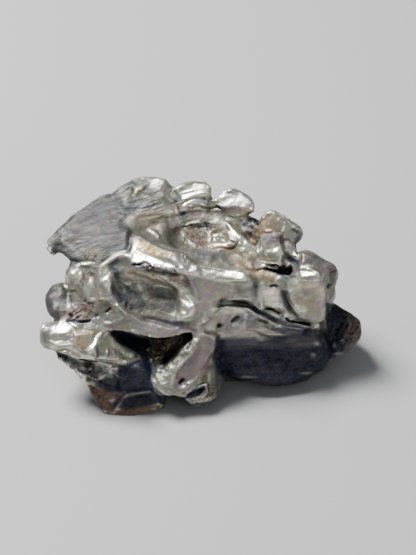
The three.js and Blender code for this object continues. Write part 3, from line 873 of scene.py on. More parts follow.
class Slabs(Form):
    """The three rounded slabs along the back of the top."""

    smooths = each(
        Smooth, ((214, 205, 222, 190, 242, 192, 256, 202, 257, 214, 240, 212), 8, 3),
        ((174, 190, 192, 183, 212, 183, 214, 196, 204, 204, 178, 208), 5, 3),
    )
    facets = each(
        Facet, ((176, 191, 192, 184, 211, 183, 213, 192, 203, 198, 184, 203), GLARE, 0.65, 4, 0.6),
        ((216, 204, 222, 191, 240, 193, 254, 201, 257, 213, 232, 207, 222, 207), GLARE, 0.6, 5, 0.6),
    )
    glints = each(
        Glint, (183, 198, 4.5, 2.6, 0.8), (184, 209, 4, 3, 0.6), (199, 205, 8, 1.6, 0.7),
        (230, 200, 5, 3.6, 0.6, 0.4), (243, 206, 3, 2.4, 0.6, 0.4), (250, 209, 2.6, 3, 0.6),
        (205, 195, 7, 1.4, 0.5, 0.4), (234, 215, 6.5, 1.2, 0.8), (203, 213, 3, 1, 0.5), (222, 196, 3.5, 2, 0.6),
        (208, 187, 4, 2, 0.5),
    )
    strokes = each(
        Stroke, ((180, 189, 195, 185.5, 209, 185), 1.6, 0.08), ((182, 194, 196, 190, 211, 188), 1.3, 0.07),
        ((184, 199.5, 192, 195, 202, 193, 211, 192), 1.4, 0.1),
        ((180, 196, 190, 192.5, 203, 190.5, 211, 190), 1.2, -0.07),
        ((180, 205, 188, 201, 197, 198.5, 207, 198), 1.6, -0.28), ((189, 206, 197, 203.5, 208, 206), 1.8, 0.2),
        ((180, 211, 185, 206.5, 191, 207, 190, 212), 1.8, 0.14),
        ((171, 204.5, 178, 201), 1.2, -0.18, ROUND, {OXIDE: 0.55}), ((180.5, 214.5, 185.5, 213), 1.3, -0.25),
        ((211, 203, 216, 198, 219, 191), 1.4, 0.14), ((216, 206, 221, 210), 1.2, -0.24, ROUND, {OXIDE: 0.5}),
        ((228, 214, 241, 216), 1.3, 0.2), ((190, 209, 198, 207, 206, 209, 216, 208, 221, 209), 1.2, -0.16),
        ((176, 206, 178, 211, 177, 216), 2, 0.12),
    )
    crumbs = each(Crumb, ((238, 214, 254, 212, 259, 222, 253, 240, 242, 230, 238, 220), 0.55, 0.08))
    # The polish on the slabs' tops is partly a painted highlight; the oxide streaks paint shade in the gaps between
    # them.
    washes = each(
        Wash, ((174, 188, 192, 182, 212, 183, 214, 196, 200, 202, 180, 206), {BANDS: 0.7}),
        ((176, 188, 208, 182, 214, 190, 208, 198, 180, 206), {POLISH: 0.7}),
        ((214, 205, 220, 190, 240, 193, 255, 200, 256, 212, 246, 211, 224, 204), {POLISH: 0.4}, 4),
        ((170, 205, 180, 203, 190, 208, 225, 208, 245, 214, 210, 219, 178, 220), {MAUVE: 0.6}, 4),
        ((205, 200, 226, 206, 238, 212, 236, 219, 206, 214), {OLIVE: 0.5}, 4),
        ((238, 217, 252, 214, 259, 222, 256, 232, 244, 228), {OXIDE: 0.12}, 4),
        ((246, 230, 256, 231, 257, 243, 250, 240), {RUST: 0.5}),
        ((208, 194, 215, 190, 216, 198, 210, 200), {RUST: 0.3}, 2),
        ((222, 193, 247, 193, 247, 207, 222, 207), {POLISH: -0.5, DULL: 0.25}, 4),
        ((192, 201, 208, 201, 208, 211, 192, 211), {OXIDE: -0.5, POLISH: 0.3}),
        ((242, 201, 252, 203, 252, 212, 242, 211), {OXIDE: -0.4, POLISH: 0.35}),
        ((225, 210, 246, 211, 246, 220, 226, 220), {OXIDE: -0.8, POLISH: 0.45}),
        ((251, 211, 261, 211, 262, 220, 252, 220), {OXIDE: 0.5}, 2),
    )
    streaks = each(
        Streak, ((180, 214.5, 185.5, 213), 1.4, {OXIDE: 0.7}), ((254, 219, 258, 224, 260, 216), 1.8, {OXIDE: 0.8}),
        ((182, 204, 190, 200.5, 200, 199, 210, 199), 1.4, {OXIDE: 0.3}),
    )


class UpperHollow(Form):
    """The shallow basin of the top, with its crescent ridge and rusted floor."""

    glints = each(
        Glint, (192, 223, 9, 1.8, 0.45, 0.4), (234, 232, 4.5, 4, 0.6, 0.5), (222, 244.5, 9, 1.2, 0.5, 0.4),
        (241, 249, 4, 3, 0.75), (218, 236, 5, 1.6, 0.5, 0.4), (209, 240, 1.8, 3, 0.5, 0.4),
        (215, 220, 8, 1.6, 0.45, 0.4), (250, 253, 5, 3, 0.5), (244, 241, 4, 2, 0.5),
    )
    smooths = each(Smooth, ((150, 218, 210, 216, 236, 220, 256, 248, 254, 262, 214, 262, 160, 248, 134, 232), 6, 5))
    strokes = each(
        Stroke, ((205, 220, 213, 219, 222, 220.5, 228, 224, 231, 228.5), 1.4, 0.08),
        ((226, 223, 231, 228.5, 241, 237, 248, 243, 255, 250), 2.2, 0.15),
        ((181, 224.5, 186, 225, 192, 223, 202, 222), 1.4, 0.18),
        ((204, 226, 207, 232, 211, 237, 209, 243, 205, 247), 1.3, 0.07),
        ((184, 229, 190, 227, 197, 229, 204, 233), 1.3, 0.1), ((189, 240, 192, 243.5, 197, 245), 1.2, 0.12),
        ((209, 247, 214, 244.5, 222, 243.5, 234, 243.5), 1.2, 0.08), ((213, 237, 220, 234.5), 1.4, 0.12),
        ((212, 249, 220, 247, 228, 249, 234, 248, 239, 241), 1.3, -0.14),
        ((204, 222, 208, 228), 1.6, -0.14, ROUND, {OXIDE: 0.7}), ((196, 234, 202, 238, 206, 243), 1.4, -0.12),
        ((148, 229, 154, 232, 160, 238), 1.6, 0.12), ((140, 234, 150, 240, 162, 247, 178, 252), 2.2, -0.08),
        ((238, 248, 246, 250), 1.6, 0.14), ((200, 256, 214, 256.5), 1.4, 0.08),
        ((245, 268, 255, 270, 268, 269), 1.4, -0.25),
    )
    facets = each(Facet, ((210, 222, 224, 222, 230, 230, 222, 234, 211, 232), (0.1, -0.6, 0.8), 0.6, 4))
    grains = each(
        Grain, ((180, 222, 210, 222, 216, 234, 234, 238, 236, 248, 184, 248), (1, 0.6), 7, 2.2, 0.085, 3),
        ((150, 218, 200, 214, 200, 262, 150, 236), (1, 0.12), 14, 4, 0.03, 6),
    )
    crumbs = each(
        Crumb, ((184, 224, 204, 223, 210, 238, 206, 246, 194, 240, 184, 232), 0.55, 0.035),
        ((180, 254, 192, 257, 190, 264, 182, 262), 0.4, 0.06),
    )
    # The polish washes on the crescent ridge are painted highlights as well as polish.
    washes = each(
        Wash, ((134, 226, 180, 216, 240, 217, 258, 250, 254, 268, 196, 262, 140, 236), {OLIVE: 0.6}, 5),
        ((136, 228, 180, 218, 190, 250, 222, 252, 222, 264, 196, 262, 160, 246), {DULL: 0.3}, 6),
        ((206, 220, 226, 221, 232, 231, 226, 236, 210, 234), {DULL: 0.6, MAUVE: 0.35}),
        ((196, 249, 224, 251, 224, 261, 198, 260), {OXIDE: 0.42, DULL: 0.2}, 5),
        ((184, 229, 204, 231, 211, 240, 207, 248, 187, 236), {RUST: 0.45}, 4),
        ((211, 230, 217, 230, 217, 234, 212, 234), {RUST: 0.7}, 2),
        ((222, 232, 226, 233, 225, 237, 221, 236), {RUST: 0.6}, 1.5),
        ((224, 250, 256, 249, 256, 268, 230, 268), {STRAW: 0.4}, 5),
        ((160, 226, 168, 224, 170, 232, 162, 234), {OXIDE: 0.3}),
        ((186, 226, 226, 222, 226, 232, 206, 246, 188, 246), {DULL: 0.15, OXIDE: 0.08}, 4),
        ((234, 226, 246, 227, 256, 238, 256, 246, 244, 245, 236, 236), {OXIDE: -0.8, POLISH: 0.5}),
        ((198, 241, 214, 241, 214, 250, 200, 250), {RUST: 0.15, OXIDE: 0.15}),
        ((242, 242, 256, 243, 256, 258, 244, 258), {OXIDE: -0.6, POLISH: 0.4}, 4),
    )
    streaks = each(
        Streak, ((212, 248.5, 222, 247, 230, 249, 236, 245, 239, 240), 1.6, {RUST: 0.9}),
        ((186, 232, 192, 237, 198, 243, 206, 247), 1.6, {RUST: 0.6}),
        ((140, 233, 150, 240, 162, 246, 178, 252), 1.8, {OXIDE: 0.3}),
        ((236, 262, 246, 267, 256, 271), 2.2, {RUST: 0.5}), ((226, 224, 248, 243), 1.8, {POLISH: 0.4}),
    )


class Ridge(Form):
    """The bright crest that crosses the front of the top, and the wedge at its left end."""

    smooths = each(
        Smooth, ((130, 234, 150, 238, 204, 262, 252, 268, 250, 286, 200, 282, 130, 264), 10),
        ((198, 284, 240, 288, 236, 302, 214, 306, 212, 334, 198, 334), 10, 6),
    )
    facets = each(
        Facet, ((133, 252, 177, 265, 177, 270, 162, 268, 133, 260), GLARE, 0.5, 5, 0.8),
        ((184, 265, 196, 263, 197, 268, 188, 271), GLARE, 0.6, 4, 0.6),
        ((200, 267, 220, 270, 240, 270, 250, 274, 246, 282, 226, 282, 200, 275), GLARE, 0.8, 5, 0.9),
        ((137, 240, 147, 242, 176, 255, 174, 261, 146, 254, 137, 250), (-0.1, -0.62, 0.77), 0.6, 5),
        ((198, 276, 240, 282, 236, 300, 199, 300), (0.1, -0.9, 0.45), 0.5, 8),
    )
    glints = each(
        Glint, (138, 256, 7, 3.6, 0.5, 0.5), (152, 260, 10, 3.6, 0.5, 0.5), (168, 265, 7, 3.6, 0.8, 0.5),
        (180, 267, 8, 3, 0.6, 0.5), (191, 267, 6, 3.2, 0.8, 0.5), (204, 270, 8, 4, 0.8, 0.6),
        (218, 273.5, 12, 4.5, 0.85), (232, 275.5, 12, 5, 0.95), (240, 276, 7, 3.4, 0.8, 0.5),
        (134, 246, 2.2, 9, 0.6, 0.4), (140, 246, 3, 2, 0.5, 0.4), (164, 279, 2.6, 2.4, 0.8),
        (182, 277, 2.6, 2.6, 0.7), (210, 272, 12, 3.5, 0.5, 0.5),
    )
    strokes = each(
        Stroke, ((199, 270, 214, 273.5, 230, 275.5, 247, 277), 5, 0.22),
        ((134, 235, 142, 238, 150, 243, 165, 250, 180, 254, 190, 258), 1.5, 0.1),
        ((198, 264, 205, 267, 215, 270, 225, 271), 1.6, 0.1), ((131, 264, 138, 265, 146, 262.5, 153, 270), 1.2, -0.4),
        ((144, 269, 150, 267, 156, 269, 165, 271, 175, 273), 1.4, -0.26),
        ((166, 281, 172, 280, 180, 283, 187, 289), 1.3, -0.25),
        ((150, 274, 156, 276, 162, 280, 168, 283), 1.3, -0.16), ((182, 280, 187, 284), 1.4, -0.18),
        ((171, 277, 177, 277), 1.4, 0.14), ((152, 276, 160, 277), 1.2, 0.12),
        ((134, 272, 146, 275, 156, 280), 1.6, 0.12),
    )
    crumbs = each(
        Crumb, ((130, 262, 152, 263, 178, 270, 190, 282, 192, 292, 180, 288, 160, 276, 131, 268), 0.6, 0.09),
    )
    # The polish along the crest is partly worn polish and partly a painted highlight; the oxide streaks paint shade
    # in the grooves below the wedge.
    washes = each(
        Wash,
        ((132, 251, 177, 263, 198, 264, 220, 269, 249, 271, 248, 282, 222, 282, 200, 276, 150, 267, 132, 262),
            {POLISH: 0.85}, 4),
        ((134, 237, 176, 255, 158, 258, 135, 254), {STRAW: 0.9}, 4),
        ((136, 238, 190, 258, 180, 261, 137, 250), {DULL: 0.25}, 4),
        ((146, 265, 160, 268, 182, 276, 192, 288, 180, 286, 162, 275, 148, 272), {RUST: 0.4}),
        ((124, 268, 150, 272, 170, 282, 160, 288, 122, 274), {STRAW: 0.6}, 4),
        ((134, 237, 156, 248, 140, 250), {RUST: 0.12}),
        ((122, 266, 146, 268, 160, 276, 150, 280, 130, 274), {RUST: 0.3}, 4),
        ((194, 278, 240, 286, 236, 302, 218, 304, 212, 332, 198, 332), {MAUVE: 0.6}, 8),
        ((196, 280, 240, 284, 236, 300, 216, 304, 208, 330, 198, 330), {POLISH: 0.15}, 8),
        ((178, 276, 200, 278, 200, 300, 192, 296), {MAUVE: 0.5}, 5),
        ((158, 250, 176, 252, 190, 258, 178, 262, 160, 257), {DULL: 0.35}, 4),
    )
    streaks = each(
        Streak, ((131, 264, 138, 265, 146, 262.5, 150, 266, 154, 270), 1.3, {OXIDE: 0.95}),
        ((144, 270, 152, 270, 158, 272, 168, 273, 178, 275), 1.5, {OXIDE: 0.6}),
        ((166, 281, 174, 281, 182, 285, 187, 290), 1.4, {OXIDE: 0.6}),
        ((174, 272, 184, 276, 190, 284), 2, {RUST: 0.5}),
    )


class FrontBowl(Form):
    """The bowl under the ridge, with its mottled floor and the ledge below it."""

    smooths = each(
        Smooth, ((118, 280, 150, 280, 178, 288, 182, 316, 146, 322, 122, 308), 10, 6),
        ((104, 318, 172, 328, 198, 328, 170, 340, 104, 332), 8),
    )
    facets = each(
        Facet,
        ((112, 276, 132, 272, 158, 280, 180, 292, 184, 308, 176, 318, 150, 320, 128, 312, 114, 294), (-0.08, -0.74,
            0.67), 0.45, 7, 1.2),
        ((134, 296, 176, 300, 176, 320, 166, 326, 142, 320, 132, 310), (-0.05, -0.84, 0.54), 0.6, 9, 1),
        ((181, 288, 190, 289, 196, 304, 190, 316, 177, 320), GLARE, 0.85, 8, 0.9),
        ((132, 322, 160, 325, 178, 329, 166, 338, 148, 336, 130, 330), (-0.1, -0.75, 0.65), 0.5, 4),
        ((108, 312, 124, 311, 130, 320, 116, 323, 106, 319), (-0.1, -0.6, 0.8), 0.5, 4),
    )
    glints = each(
        Glint, (187, 303, 5.5, 9, 0.95), (180, 316, 9, 4, 0.7, 0.6), (185, 314, 5, 3.5, 0.6),
        (127, 284, 3, 2.4, 0.6, 0.4), (139, 287, 2.6, 4.5, 0.45, 0.4), (107, 322, 3, 2, 0.4, 0.4),
        (179, 316, 6, 3, 0.5, 0.5), (188, 295, 4, 5, 0.7, 0.5), (184, 310, 5, 5, 0.6, 0.5),
        (184, 312, 5, 4.5, 0.9, 0.7),
    )
    strokes = each(
        Stroke, ((132, 279, 137, 284, 142, 290, 146, 298), 1.6, 0.12, LEDGE), ((122, 282, 132, 286), 1.6, 0.16),
        ((127, 302, 127.5, 309), 1.4, -0.2), ((142, 318, 152, 320, 164, 323, 180, 327), 3, -0.2),
        ((112, 329, 130, 331, 146, 336, 159, 340, 172, 338, 183, 332, 196, 331), 2, 0.14),
        ((176, 290, 184, 294, 190, 301, 193, 309), 1.8, 0.12), ((109, 298, 114, 301, 119, 306, 126, 316), 1.6, 0.16),
        ((199, 325, 205, 321, 212, 318), 1.6, 0.16), ((146, 288, 156, 286, 168, 288, 176, 292), 2, -0.12),
        ((114, 280, 118, 290, 122, 298), 2.4, -0.14), ((106, 324, 116, 323, 124, 318, 127, 313), 1.5, 0.12),
    )
    crumbs = each(
        Crumb, ((120, 296, 134, 298, 136, 312, 124, 312), 0.6, 0.03),
        ((176, 286, 190, 292, 193, 306, 184, 302, 178, 294), 0.5, 0.05),
        ((116, 276, 176, 292, 176, 312, 146, 316, 122, 306), 0.9, 0.03, 6),
    )
    # The oxide patches in the bowl are partly painted shade, and the polish on its right wall is a painted highlight.
    washes = each(
        Wash, ((110, 268, 150, 272, 190, 284, 192, 318, 140, 326, 112, 304), {OXIDE: -0.75}, 5),
        ((112, 268, 150, 276, 182, 286, 178, 314, 140, 320, 114, 300), {OLIVE: 0.25}, 5),
        ((120, 268, 150, 271, 160, 280, 140, 280, 122, 276), {POLISH: 0.25}, 4),
        ((118, 290, 176, 298, 174, 318, 142, 322, 122, 314), {DULL: 0.2}, 7),
        ((110, 264, 118, 260, 128, 262, 124, 274, 112, 276), {OXIDE: 0.35}, 4),
        ((114, 278, 122, 277, 130, 288, 142, 294, 146, 306, 132, 311, 120, 302), {OXIDE: 0.55}, 4),
        ((147, 287, 172, 287, 178, 292, 176, 301, 158, 302, 148, 300), {OXIDE: 0.3}, 4),
        ((140, 315, 188, 322, 190, 328, 160, 326, 142, 320), {DULL: 0.8}, 4),
        ((142, 316, 158, 318, 180, 324, 176, 328, 144, 320), {OXIDE: 0.25}, 4),
        ((180, 289, 190, 290, 196, 302, 192, 315, 180, 318, 178, 304), {POLISH: 0.9}, 6),
        ((110, 310, 136, 312, 196, 324, 198, 331, 170, 338, 104, 328), {MAUVE: 0.5}, 4),
        ((108, 266, 118, 268, 120, 282, 126, 300, 118, 304, 110, 288), {POLISH: -0.8, DULL: 0.6, OXIDE: 0.3}),
        ((136, 272, 168, 276, 186, 280, 184, 289, 162, 287, 138, 282), {OXIDE: -0.9, POLISH: 0.5}),
        ((112, 278, 124, 280, 127, 294, 116, 292), {OXIDE: -0.5, POLISH: 0.1}),
        ((165, 319, 184, 321, 184, 330, 166, 329), {OXIDE: 0.45}),
        ((134, 305, 174, 304, 176, 316, 158, 322, 138, 320), {OXIDE: 0.22, DULL: 0.2, POLISH: -0.4}, 4),
    )
    streaks = each(
        Streak, ((126.5, 301, 128, 309), 1.4, {OXIDE: 0.7}), ((184, 328, 190, 329, 197, 331), 1.6, {OXIDE: 0.5}),
    )
    grains = each(Grain, ((114, 278, 134, 280, 150, 300, 144, 312, 122, 304), (1, 0.7), 6, 2.6, 0.05))


class LeftKnuckles(Form):
    """The rounded knuckles at the left, with a rough brown hollow among them."""

    smooths = each(
        Smooth, ((82, 272, 98, 270, 101, 296, 82, 298), 20, 3),
        ((60, 262, 84, 260, 104, 266, 118, 280, 118, 300, 66, 296), 14),
        ((38, 300, 50, 282, 62, 284, 66, 304, 62, 320, 44, 322), 24, 3),
        ((96, 300, 120, 304, 130, 318, 128, 332, 100, 328), 8),
        ((44, 286, 62, 284, 69, 296, 66, 316, 48, 320), 30, 4),
    )
    domes = each(Dome, (73.5, 277, 11, 15, 0.26), (105, 284, 9, 19, 0.22, 0))
    facets = each(
        Facet, ((64, 262, 77, 261, 77, 270, 66, 276), (-0.1, -0.75, 0.65), 0.5, 5, 0.5),
        ((82, 282, 98, 282, 100, 296, 84, 297), (-0.1, -0.6, 0.8), 0.4, 6),
        ((88, 300, 108, 300, 118, 311, 100, 314), (0, -0.8, 0.6), 0.5, 4),
    )
    glints = each(
        Glint, (80, 273, 3, 3, 0.95), (71.5, 276.5, 2, 2.2, 0.5, 0.4), (106.5, 277, 5, 5.5, 0.98, 0.95),
        (108, 286, 2.6, 5, 0.5, 0.5), (86, 264, 6, 1.8, 0.7), (74.5, 305.5, 4.5, 2.4, 0.9),
        (55, 306, 2, 4.5, 0.35, 0.25), (106, 322, 3.2, 1.8, 0.45, 0.4), (114, 304, 4, 1.5, 0.4, 0.4),
    )
    strokes = each(
        Stroke, ((63, 286, 67, 290.5, 72, 291.5, 76, 290, 80, 284, 84, 277), 1.5, -0.16),
        ((71, 306, 79, 303), 2, 0.16), ((66, 321, 74, 320.5, 82, 321.5, 92, 320), 1.3, -0.45, ROUND, {OXIDE: 0.9}),
        ((96, 280, 99, 287, 103, 292), 1.3, 0.1), ((96, 300, 105, 299, 112, 303, 120, 308, 128, 315), 1.4, 0.16),
        ((88, 297, 98, 296, 106, 295), 1.6, -0.1), ((105.5, 313, 111, 308), 1.3, -0.3),
        ((98, 314, 96, 318), 1.3, -0.22), ((85, 299, 85.5, 302), 1.2, -0.25, ROUND, {OXIDE: 0.6}),
        ((69, 314, 72, 316), 1.2, -0.25, ROUND, {OXIDE: 0.6}), ((76, 317, 79, 319), 1.2, -0.25, ROUND, {OXIDE: 0.6}),
        ((80, 265, 93, 263), 1.4, 0.14), ((100, 330, 115, 330, 130, 330), 1.3, 0.12),
        ((64, 263, 72, 261, 79, 264), 1.5, -0.08),
    )
    crumbs = each(Crumb, ((71, 310, 82, 301, 96, 302, 97, 316, 90, 320, 68, 320), 0.8, 0.08))
    # The dull washes over the knuckles' upper left are painted shade that hides a highlight there, and the polish
    # washes are painted highlights.
    washes = each(
        Wash, ((60, 262, 75, 261, 77, 272, 74, 288, 64, 290), {DULL: 0.3}, 4),
        ((60, 262, 100, 262, 116, 280, 116, 300, 66, 304, 60, 285), {OXIDE: -0.5}, 4),
        ((38, 300, 50, 284, 62, 284, 67, 300, 64, 320, 44, 324), {DULL: 0.97}, 4),
        ((58, 286, 70, 292, 73, 303, 68, 318, 58, 320), {DULL: 0.85}),
        ((62, 262, 100, 262, 112, 280, 108, 290, 100, 276, 84, 274, 64, 284), {POLISH: 0.3}, 5),
        ((84, 274, 104, 274, 108, 298, 86, 298), {POLISH: 0.25, DULL: 0.15}),
        ((62, 258, 77, 260, 76, 270, 66, 274), {POLISH: -0.9, DULL: 0.5}),
        ((68, 309, 80, 303, 98, 304, 97, 317, 84, 321, 66, 321), {RUST: 0.35, MAUVE: 0.7}),
        ((68, 309, 80, 301, 112, 304, 116, 312, 84, 321, 66, 321), {DULL: 0.4}),
        ((86, 300, 111, 301, 117, 312, 98, 316), {RUST: 0.15}, 4),
        ((62, 266, 84, 266, 84, 290, 66, 292), {OLIVE: 0.25}, 6),
        ((42, 300, 60, 286, 62, 316, 48, 318), {MAUVE: 0.3}, 5),
        ((104, 312, 130, 320, 128, 328, 104, 328), {OLIVE: 0.2}, 6),
        ((42, 290, 58, 288, 59, 316, 44, 318), {OXIDE: 0.35}, 4),
        ((60, 288, 67, 290, 67, 306, 60, 306), {DULL: -0.35}),
        ((68, 259, 88, 259, 90, 268, 70, 270), {POLISH: -0.9, DULL: 0.5, OXIDE: 0.1}, 2.5),
        ((64, 263, 76, 263, 76, 269, 66, 270), {OXIDE: 0.35, DULL: 0.5}),
        ((103, 272, 114, 274, 114, 286, 104, 286), {OXIDE: -0.6, POLISH: 0.3}),
        ((72, 273, 84, 272, 84, 284, 74, 284), {OXIDE: -0.5, POLISH: 0.35}),
    )
    streaks = each(
        Streak, ((63, 286, 67, 290.5, 72, 291.5, 76, 290), 1.1, {OXIDE: 0.45}),
        ((106, 312, 110, 308), 1.4, {OXIDE: 0.7}),
    )


class Paw(Form):
    """The blocky paw at the lower left, polished on top, over a thin bright lip."""

    smooths = each(
        Smooth, ((36, 330, 46, 320, 64, 318, 100, 330, 98, 346, 86, 354, 54, 350, 40, 346), 14),
        ((34, 322, 50, 316, 54, 334, 52, 352, 34, 350), 24),
        ((96, 334, 110, 332, 138, 354, 118, 362, 92, 360), 10, 3),
    )
    facets = each(
        Facet, ((61, 319, 70, 327, 68, 333, 51, 335), GLARE, 0.8, 4, 0.8),
        ((50, 339, 70, 338, 73, 346, 56, 349), (-0.25, -0.38, 0.9), 0.7, 4.5, 0.6),
        ((74, 333, 94, 333, 91, 345, 85, 352, 75, 348), (0.1, -0.7, 0.7), 0.75, 4),
        ((98, 336, 108, 334, 122, 343, 134, 354, 116, 358, 97, 358), (0.3, -0.8, 0.55), 0.7, 3),
    )
    glints = each(
        Glint, (62, 328, 6, 4, 0.75), (58, 343, 6, 3, 0.6, 0.4), (77, 347, 3, 2, 0.5, 0.4), (44.5, 324, 3.4, 2, 0.7),
        (73, 325, 5, 2.4, 0.8), (90, 351, 3, 3.4, 0.9), (96, 341, 2.4, 5, 0.7, 0.5), (130, 356, 4.5, 1.8, 0.85),
        (113, 367, 5, 1.5, 0.7), (74, 356, 6, 1.4, 0.6, 0.4),
    )
    strokes = each(
        Stroke, ((40, 330, 41, 325, 45, 322, 51, 320), 3.6, -0.55), ((61, 321, 57, 328, 52, 335), 1.6, 0.08),
        ((68, 322, 79, 328), 1.5, 0.2), ((71.5, 330, 72.5, 338, 74, 345, 84, 353), 1.3, -0.1),
        ((104, 332, 97.5, 338, 95, 345, 89, 353), 1.6, 0.24), ((100, 337, 98, 346, 98, 357), 1.6, -0.1),
        ((107, 342, 108, 357), 1.3, 0.08), ((126, 357, 130, 354.5, 137, 354), 1.4, 0.16),
        ((52, 351, 60, 351.5, 68, 353, 75, 357, 81, 360.5, 92, 362, 102, 362.5, 108, 364.5, 113, 367.5, 122, 367, 130,
            364.5, 136, 361), 1.4, 0.22),
        ((54, 349.5, 66, 350, 76, 353.5, 84, 357.5, 100, 360, 116, 363, 128, 361), 1.5, -0.1),
        ((84, 323, 92, 322.5, 98, 327), 1.6, -0.1),
    )
    grains = each(Grain, ((98, 336, 110, 334, 134, 354, 116, 360, 97, 359), (0.25, 1), 9, 3.4, 0.035, 3))
    crumbs = each(Crumb, ((80, 322, 98, 324, 98, 330, 82, 329), 0.55, 0.04))
    # The polish washes on the paw's top are painted highlights; the dull and oxide under its lip are painted shade.
    washes = each(
        Wash, ((70, 326, 72, 347, 62, 350, 50, 348, 50, 334), {POLISH: 0.4}),
        ((73, 329, 98, 329, 97, 335, 73, 335), {STRAW: 0.5, POLISH: -0.6, RUST: 0.2, OLIVE: 0.4}, 1.5),
        ((73, 335, 84, 336, 91, 343, 87, 351, 83, 350, 74, 344), {MAUVE: 0.45, STRAW: 0.65, RUST: 0.26}),
        ((98, 335, 108, 333, 136, 354, 118, 361, 96, 358), {DULL: 0.5, OLIVE: 0.6}),
        ((36, 326, 44, 328, 50, 350, 38, 346), {DULL: 0.2}, 5),
        ((117, 344, 128, 346, 134, 356, 118, 358), {DULL: -0.6, OXIDE: -0.6, POLISH: 0.2}),
        ((48, 351, 58, 351.5, 68, 356, 66, 361, 52, 358), {DULL: 0.9, OXIDE: 0.6}, 1.5),
        ((79, 320, 95, 321, 95, 331, 80, 330), {OXIDE: 0.2, OLIVE: 0.4, POLISH: -0.7}),
        ((97, 352, 114, 352, 114, 361, 98, 361), {OXIDE: 0.35, POLISH: -0.7}, 2.5),
        ((80, 354, 94, 356, 94, 362, 81, 360), {OXIDE: -0.8, POLISH: 0.5}, 2),
        ((110, 337, 124, 342, 126, 350, 113, 348), {OXIDE: -0.6, DULL: -0.3, POLISH: 0.1}),
        ((62, 338, 74, 338, 82, 352, 70, 352), {POLISH: 0.4}),
    )
    streaks = each(
        Streak, ((104, 332, 97.5, 338, 90, 353), 2.2, {POLISH: 0.8}),
        ((54, 351.5, 68, 353, 80, 360, 100, 362, 113, 367.5, 130, 364.5), 1.3, {POLISH: 0.4}),
    )


class Foot(Form):
    """The dark foot under the paw, rusted along its bottom edges."""

    facets = each(
        Facet, ((116, 372, 140, 364, 149, 374, 150, 386, 128, 391, 116, 388), (0.1, -0.95, 0.2), 0.6, 5),
        ((92, 388, 112, 392, 120, 396, 112, 408, 102, 404), (-0.2, -0.85, 0.4), 0.6, 4),
        ((124, 398, 150, 393, 160, 402, 140, 409, 120, 411), (0.1, -0.95, 0.15), 0.6, 3),
    )
    glints = each(
        Glint, (60, 359.5, 4, 2, 0.95), (68, 366, 2, 3, 0.9), (76, 371, 2, 3.4, 0.9), (82, 368.5, 2.6, 1.8, 0.9),
        (84, 377, 2, 2.4, 0.8), (90, 369, 3, 1.2, 0.6), (101, 377, 4, 2, 0.75), (92, 382.5, 3.4, 1.8, 0.7),
        (83, 381.5, 3, 1.8, 0.5, 0.4), (112, 371.5, 4.5, 1.8, 0.65), (112, 400, 3.4, 2.6, 0.5, 0.3),
        (154, 409, 4, 1.6, 0.5, 0.4), (104, 412, 3, 1.8, 0.7, 0.5), (88, 360, 3, 1.6, 0.4, 0.4),
    )
    strokes = each(
        Stroke, ((54, 354, 64, 361, 74, 368, 84, 377, 91, 386), 3.2, 0.4),
        ((104, 366, 109, 369, 114, 373, 119, 377), 1.4, 0.2, ROUND, {OXIDE: -0.5}),
        ((86, 374, 92, 378, 98, 379.5, 107, 373), 1.3, 0.22, ROUND, {OXIDE: -0.6}), ((86, 369, 97, 373), 2.6, 0.25),
        ((88, 381, 92, 384, 97, 384), 1.4, 0.16), ((73, 369, 75, 373, 78, 376), 1.4, 0.16),
        ((82, 380, 86, 382), 1.3, 0.14), ((113, 408, 118, 402, 124, 396, 130, 393, 140, 392.5, 150, 389.5), 1, 0.09),
        ((120, 406, 128, 399, 138, 396, 150, 395), 2.2, -0.12),
        ((114, 415, 130, 413.5, 146, 411, 160, 409), 1.6, 0.18),
        ((92, 398, 100, 408), 1.4, 0.14, ROUND, {STRAW: 0.4}), ((101, 411, 107, 413), 1.6, 0.16),
        ((118, 375, 116, 384, 112, 390), 1.6, 0.08),
    )
    grains = each(Grain, ((124, 362, 146, 356, 152, 386, 120, 390), (1, 0), 12, 4, 0.05))
    crumbs = each(
        Crumb, ((52, 354, 80, 363, 104, 368, 112, 386, 98, 386, 82, 378, 60, 364), 0.6, 0.12),
        ((88, 384, 122, 388, 124, 394, 112, 410, 98, 408), 0.5, 0.05),
        ((118, 400, 150, 393, 160, 402, 120, 412), 0.6, 0.04),
    )
    # The oxide washes are partly crust and partly painted shade under the paw.
    washes = each(
        Wash, ((80, 362, 104, 366, 118, 374, 122, 392, 104, 390, 86, 382), {OXIDE: 0.78}),
        ((118, 366, 141, 358, 150, 372, 154, 390, 128, 392, 116, 390), {OXIDE: 0.86}),
        ((118, 408, 126, 397, 152, 392, 162, 402, 150, 406, 126, 410), {OXIDE: 0.8}),
        ((52, 352, 70, 356, 84, 362, 84, 374, 66, 368), {OXIDE: 0.55}),
        ((84, 384, 121, 393, 114, 412, 98, 412, 90, 400), {RUST: 0.75, MAUVE: 0.7}),
        ((120, 398, 150, 394, 156, 402, 124, 410), {RUST: 0.5}, 4),
        ((116, 411, 132, 407.5, 160, 405, 161, 411, 140, 415, 114, 417), {RUST: 0.85}, 2),
        ((104, 383, 122, 387, 124, 393, 106, 392), {OXIDE: 0.6}, 2),
        ((79, 361, 112, 364, 113, 378, 84, 374), {OXIDE: -0.6}),
        ((129, 394, 151, 393, 152, 401, 128, 402), {OXIDE: 0.5}, 2),
    )
    streaks = each(
        Streak, ((87, 371, 98, 374), 2, {OXIDE: 0.6}),
        ((112, 409, 118, 402, 123, 395, 130, 392, 150, 389), 3.2, {OXIDE: 0.85}),
        ((150, 389, 156, 394, 162, 403), 2.4, {OXIDE: 0.9}),
    )


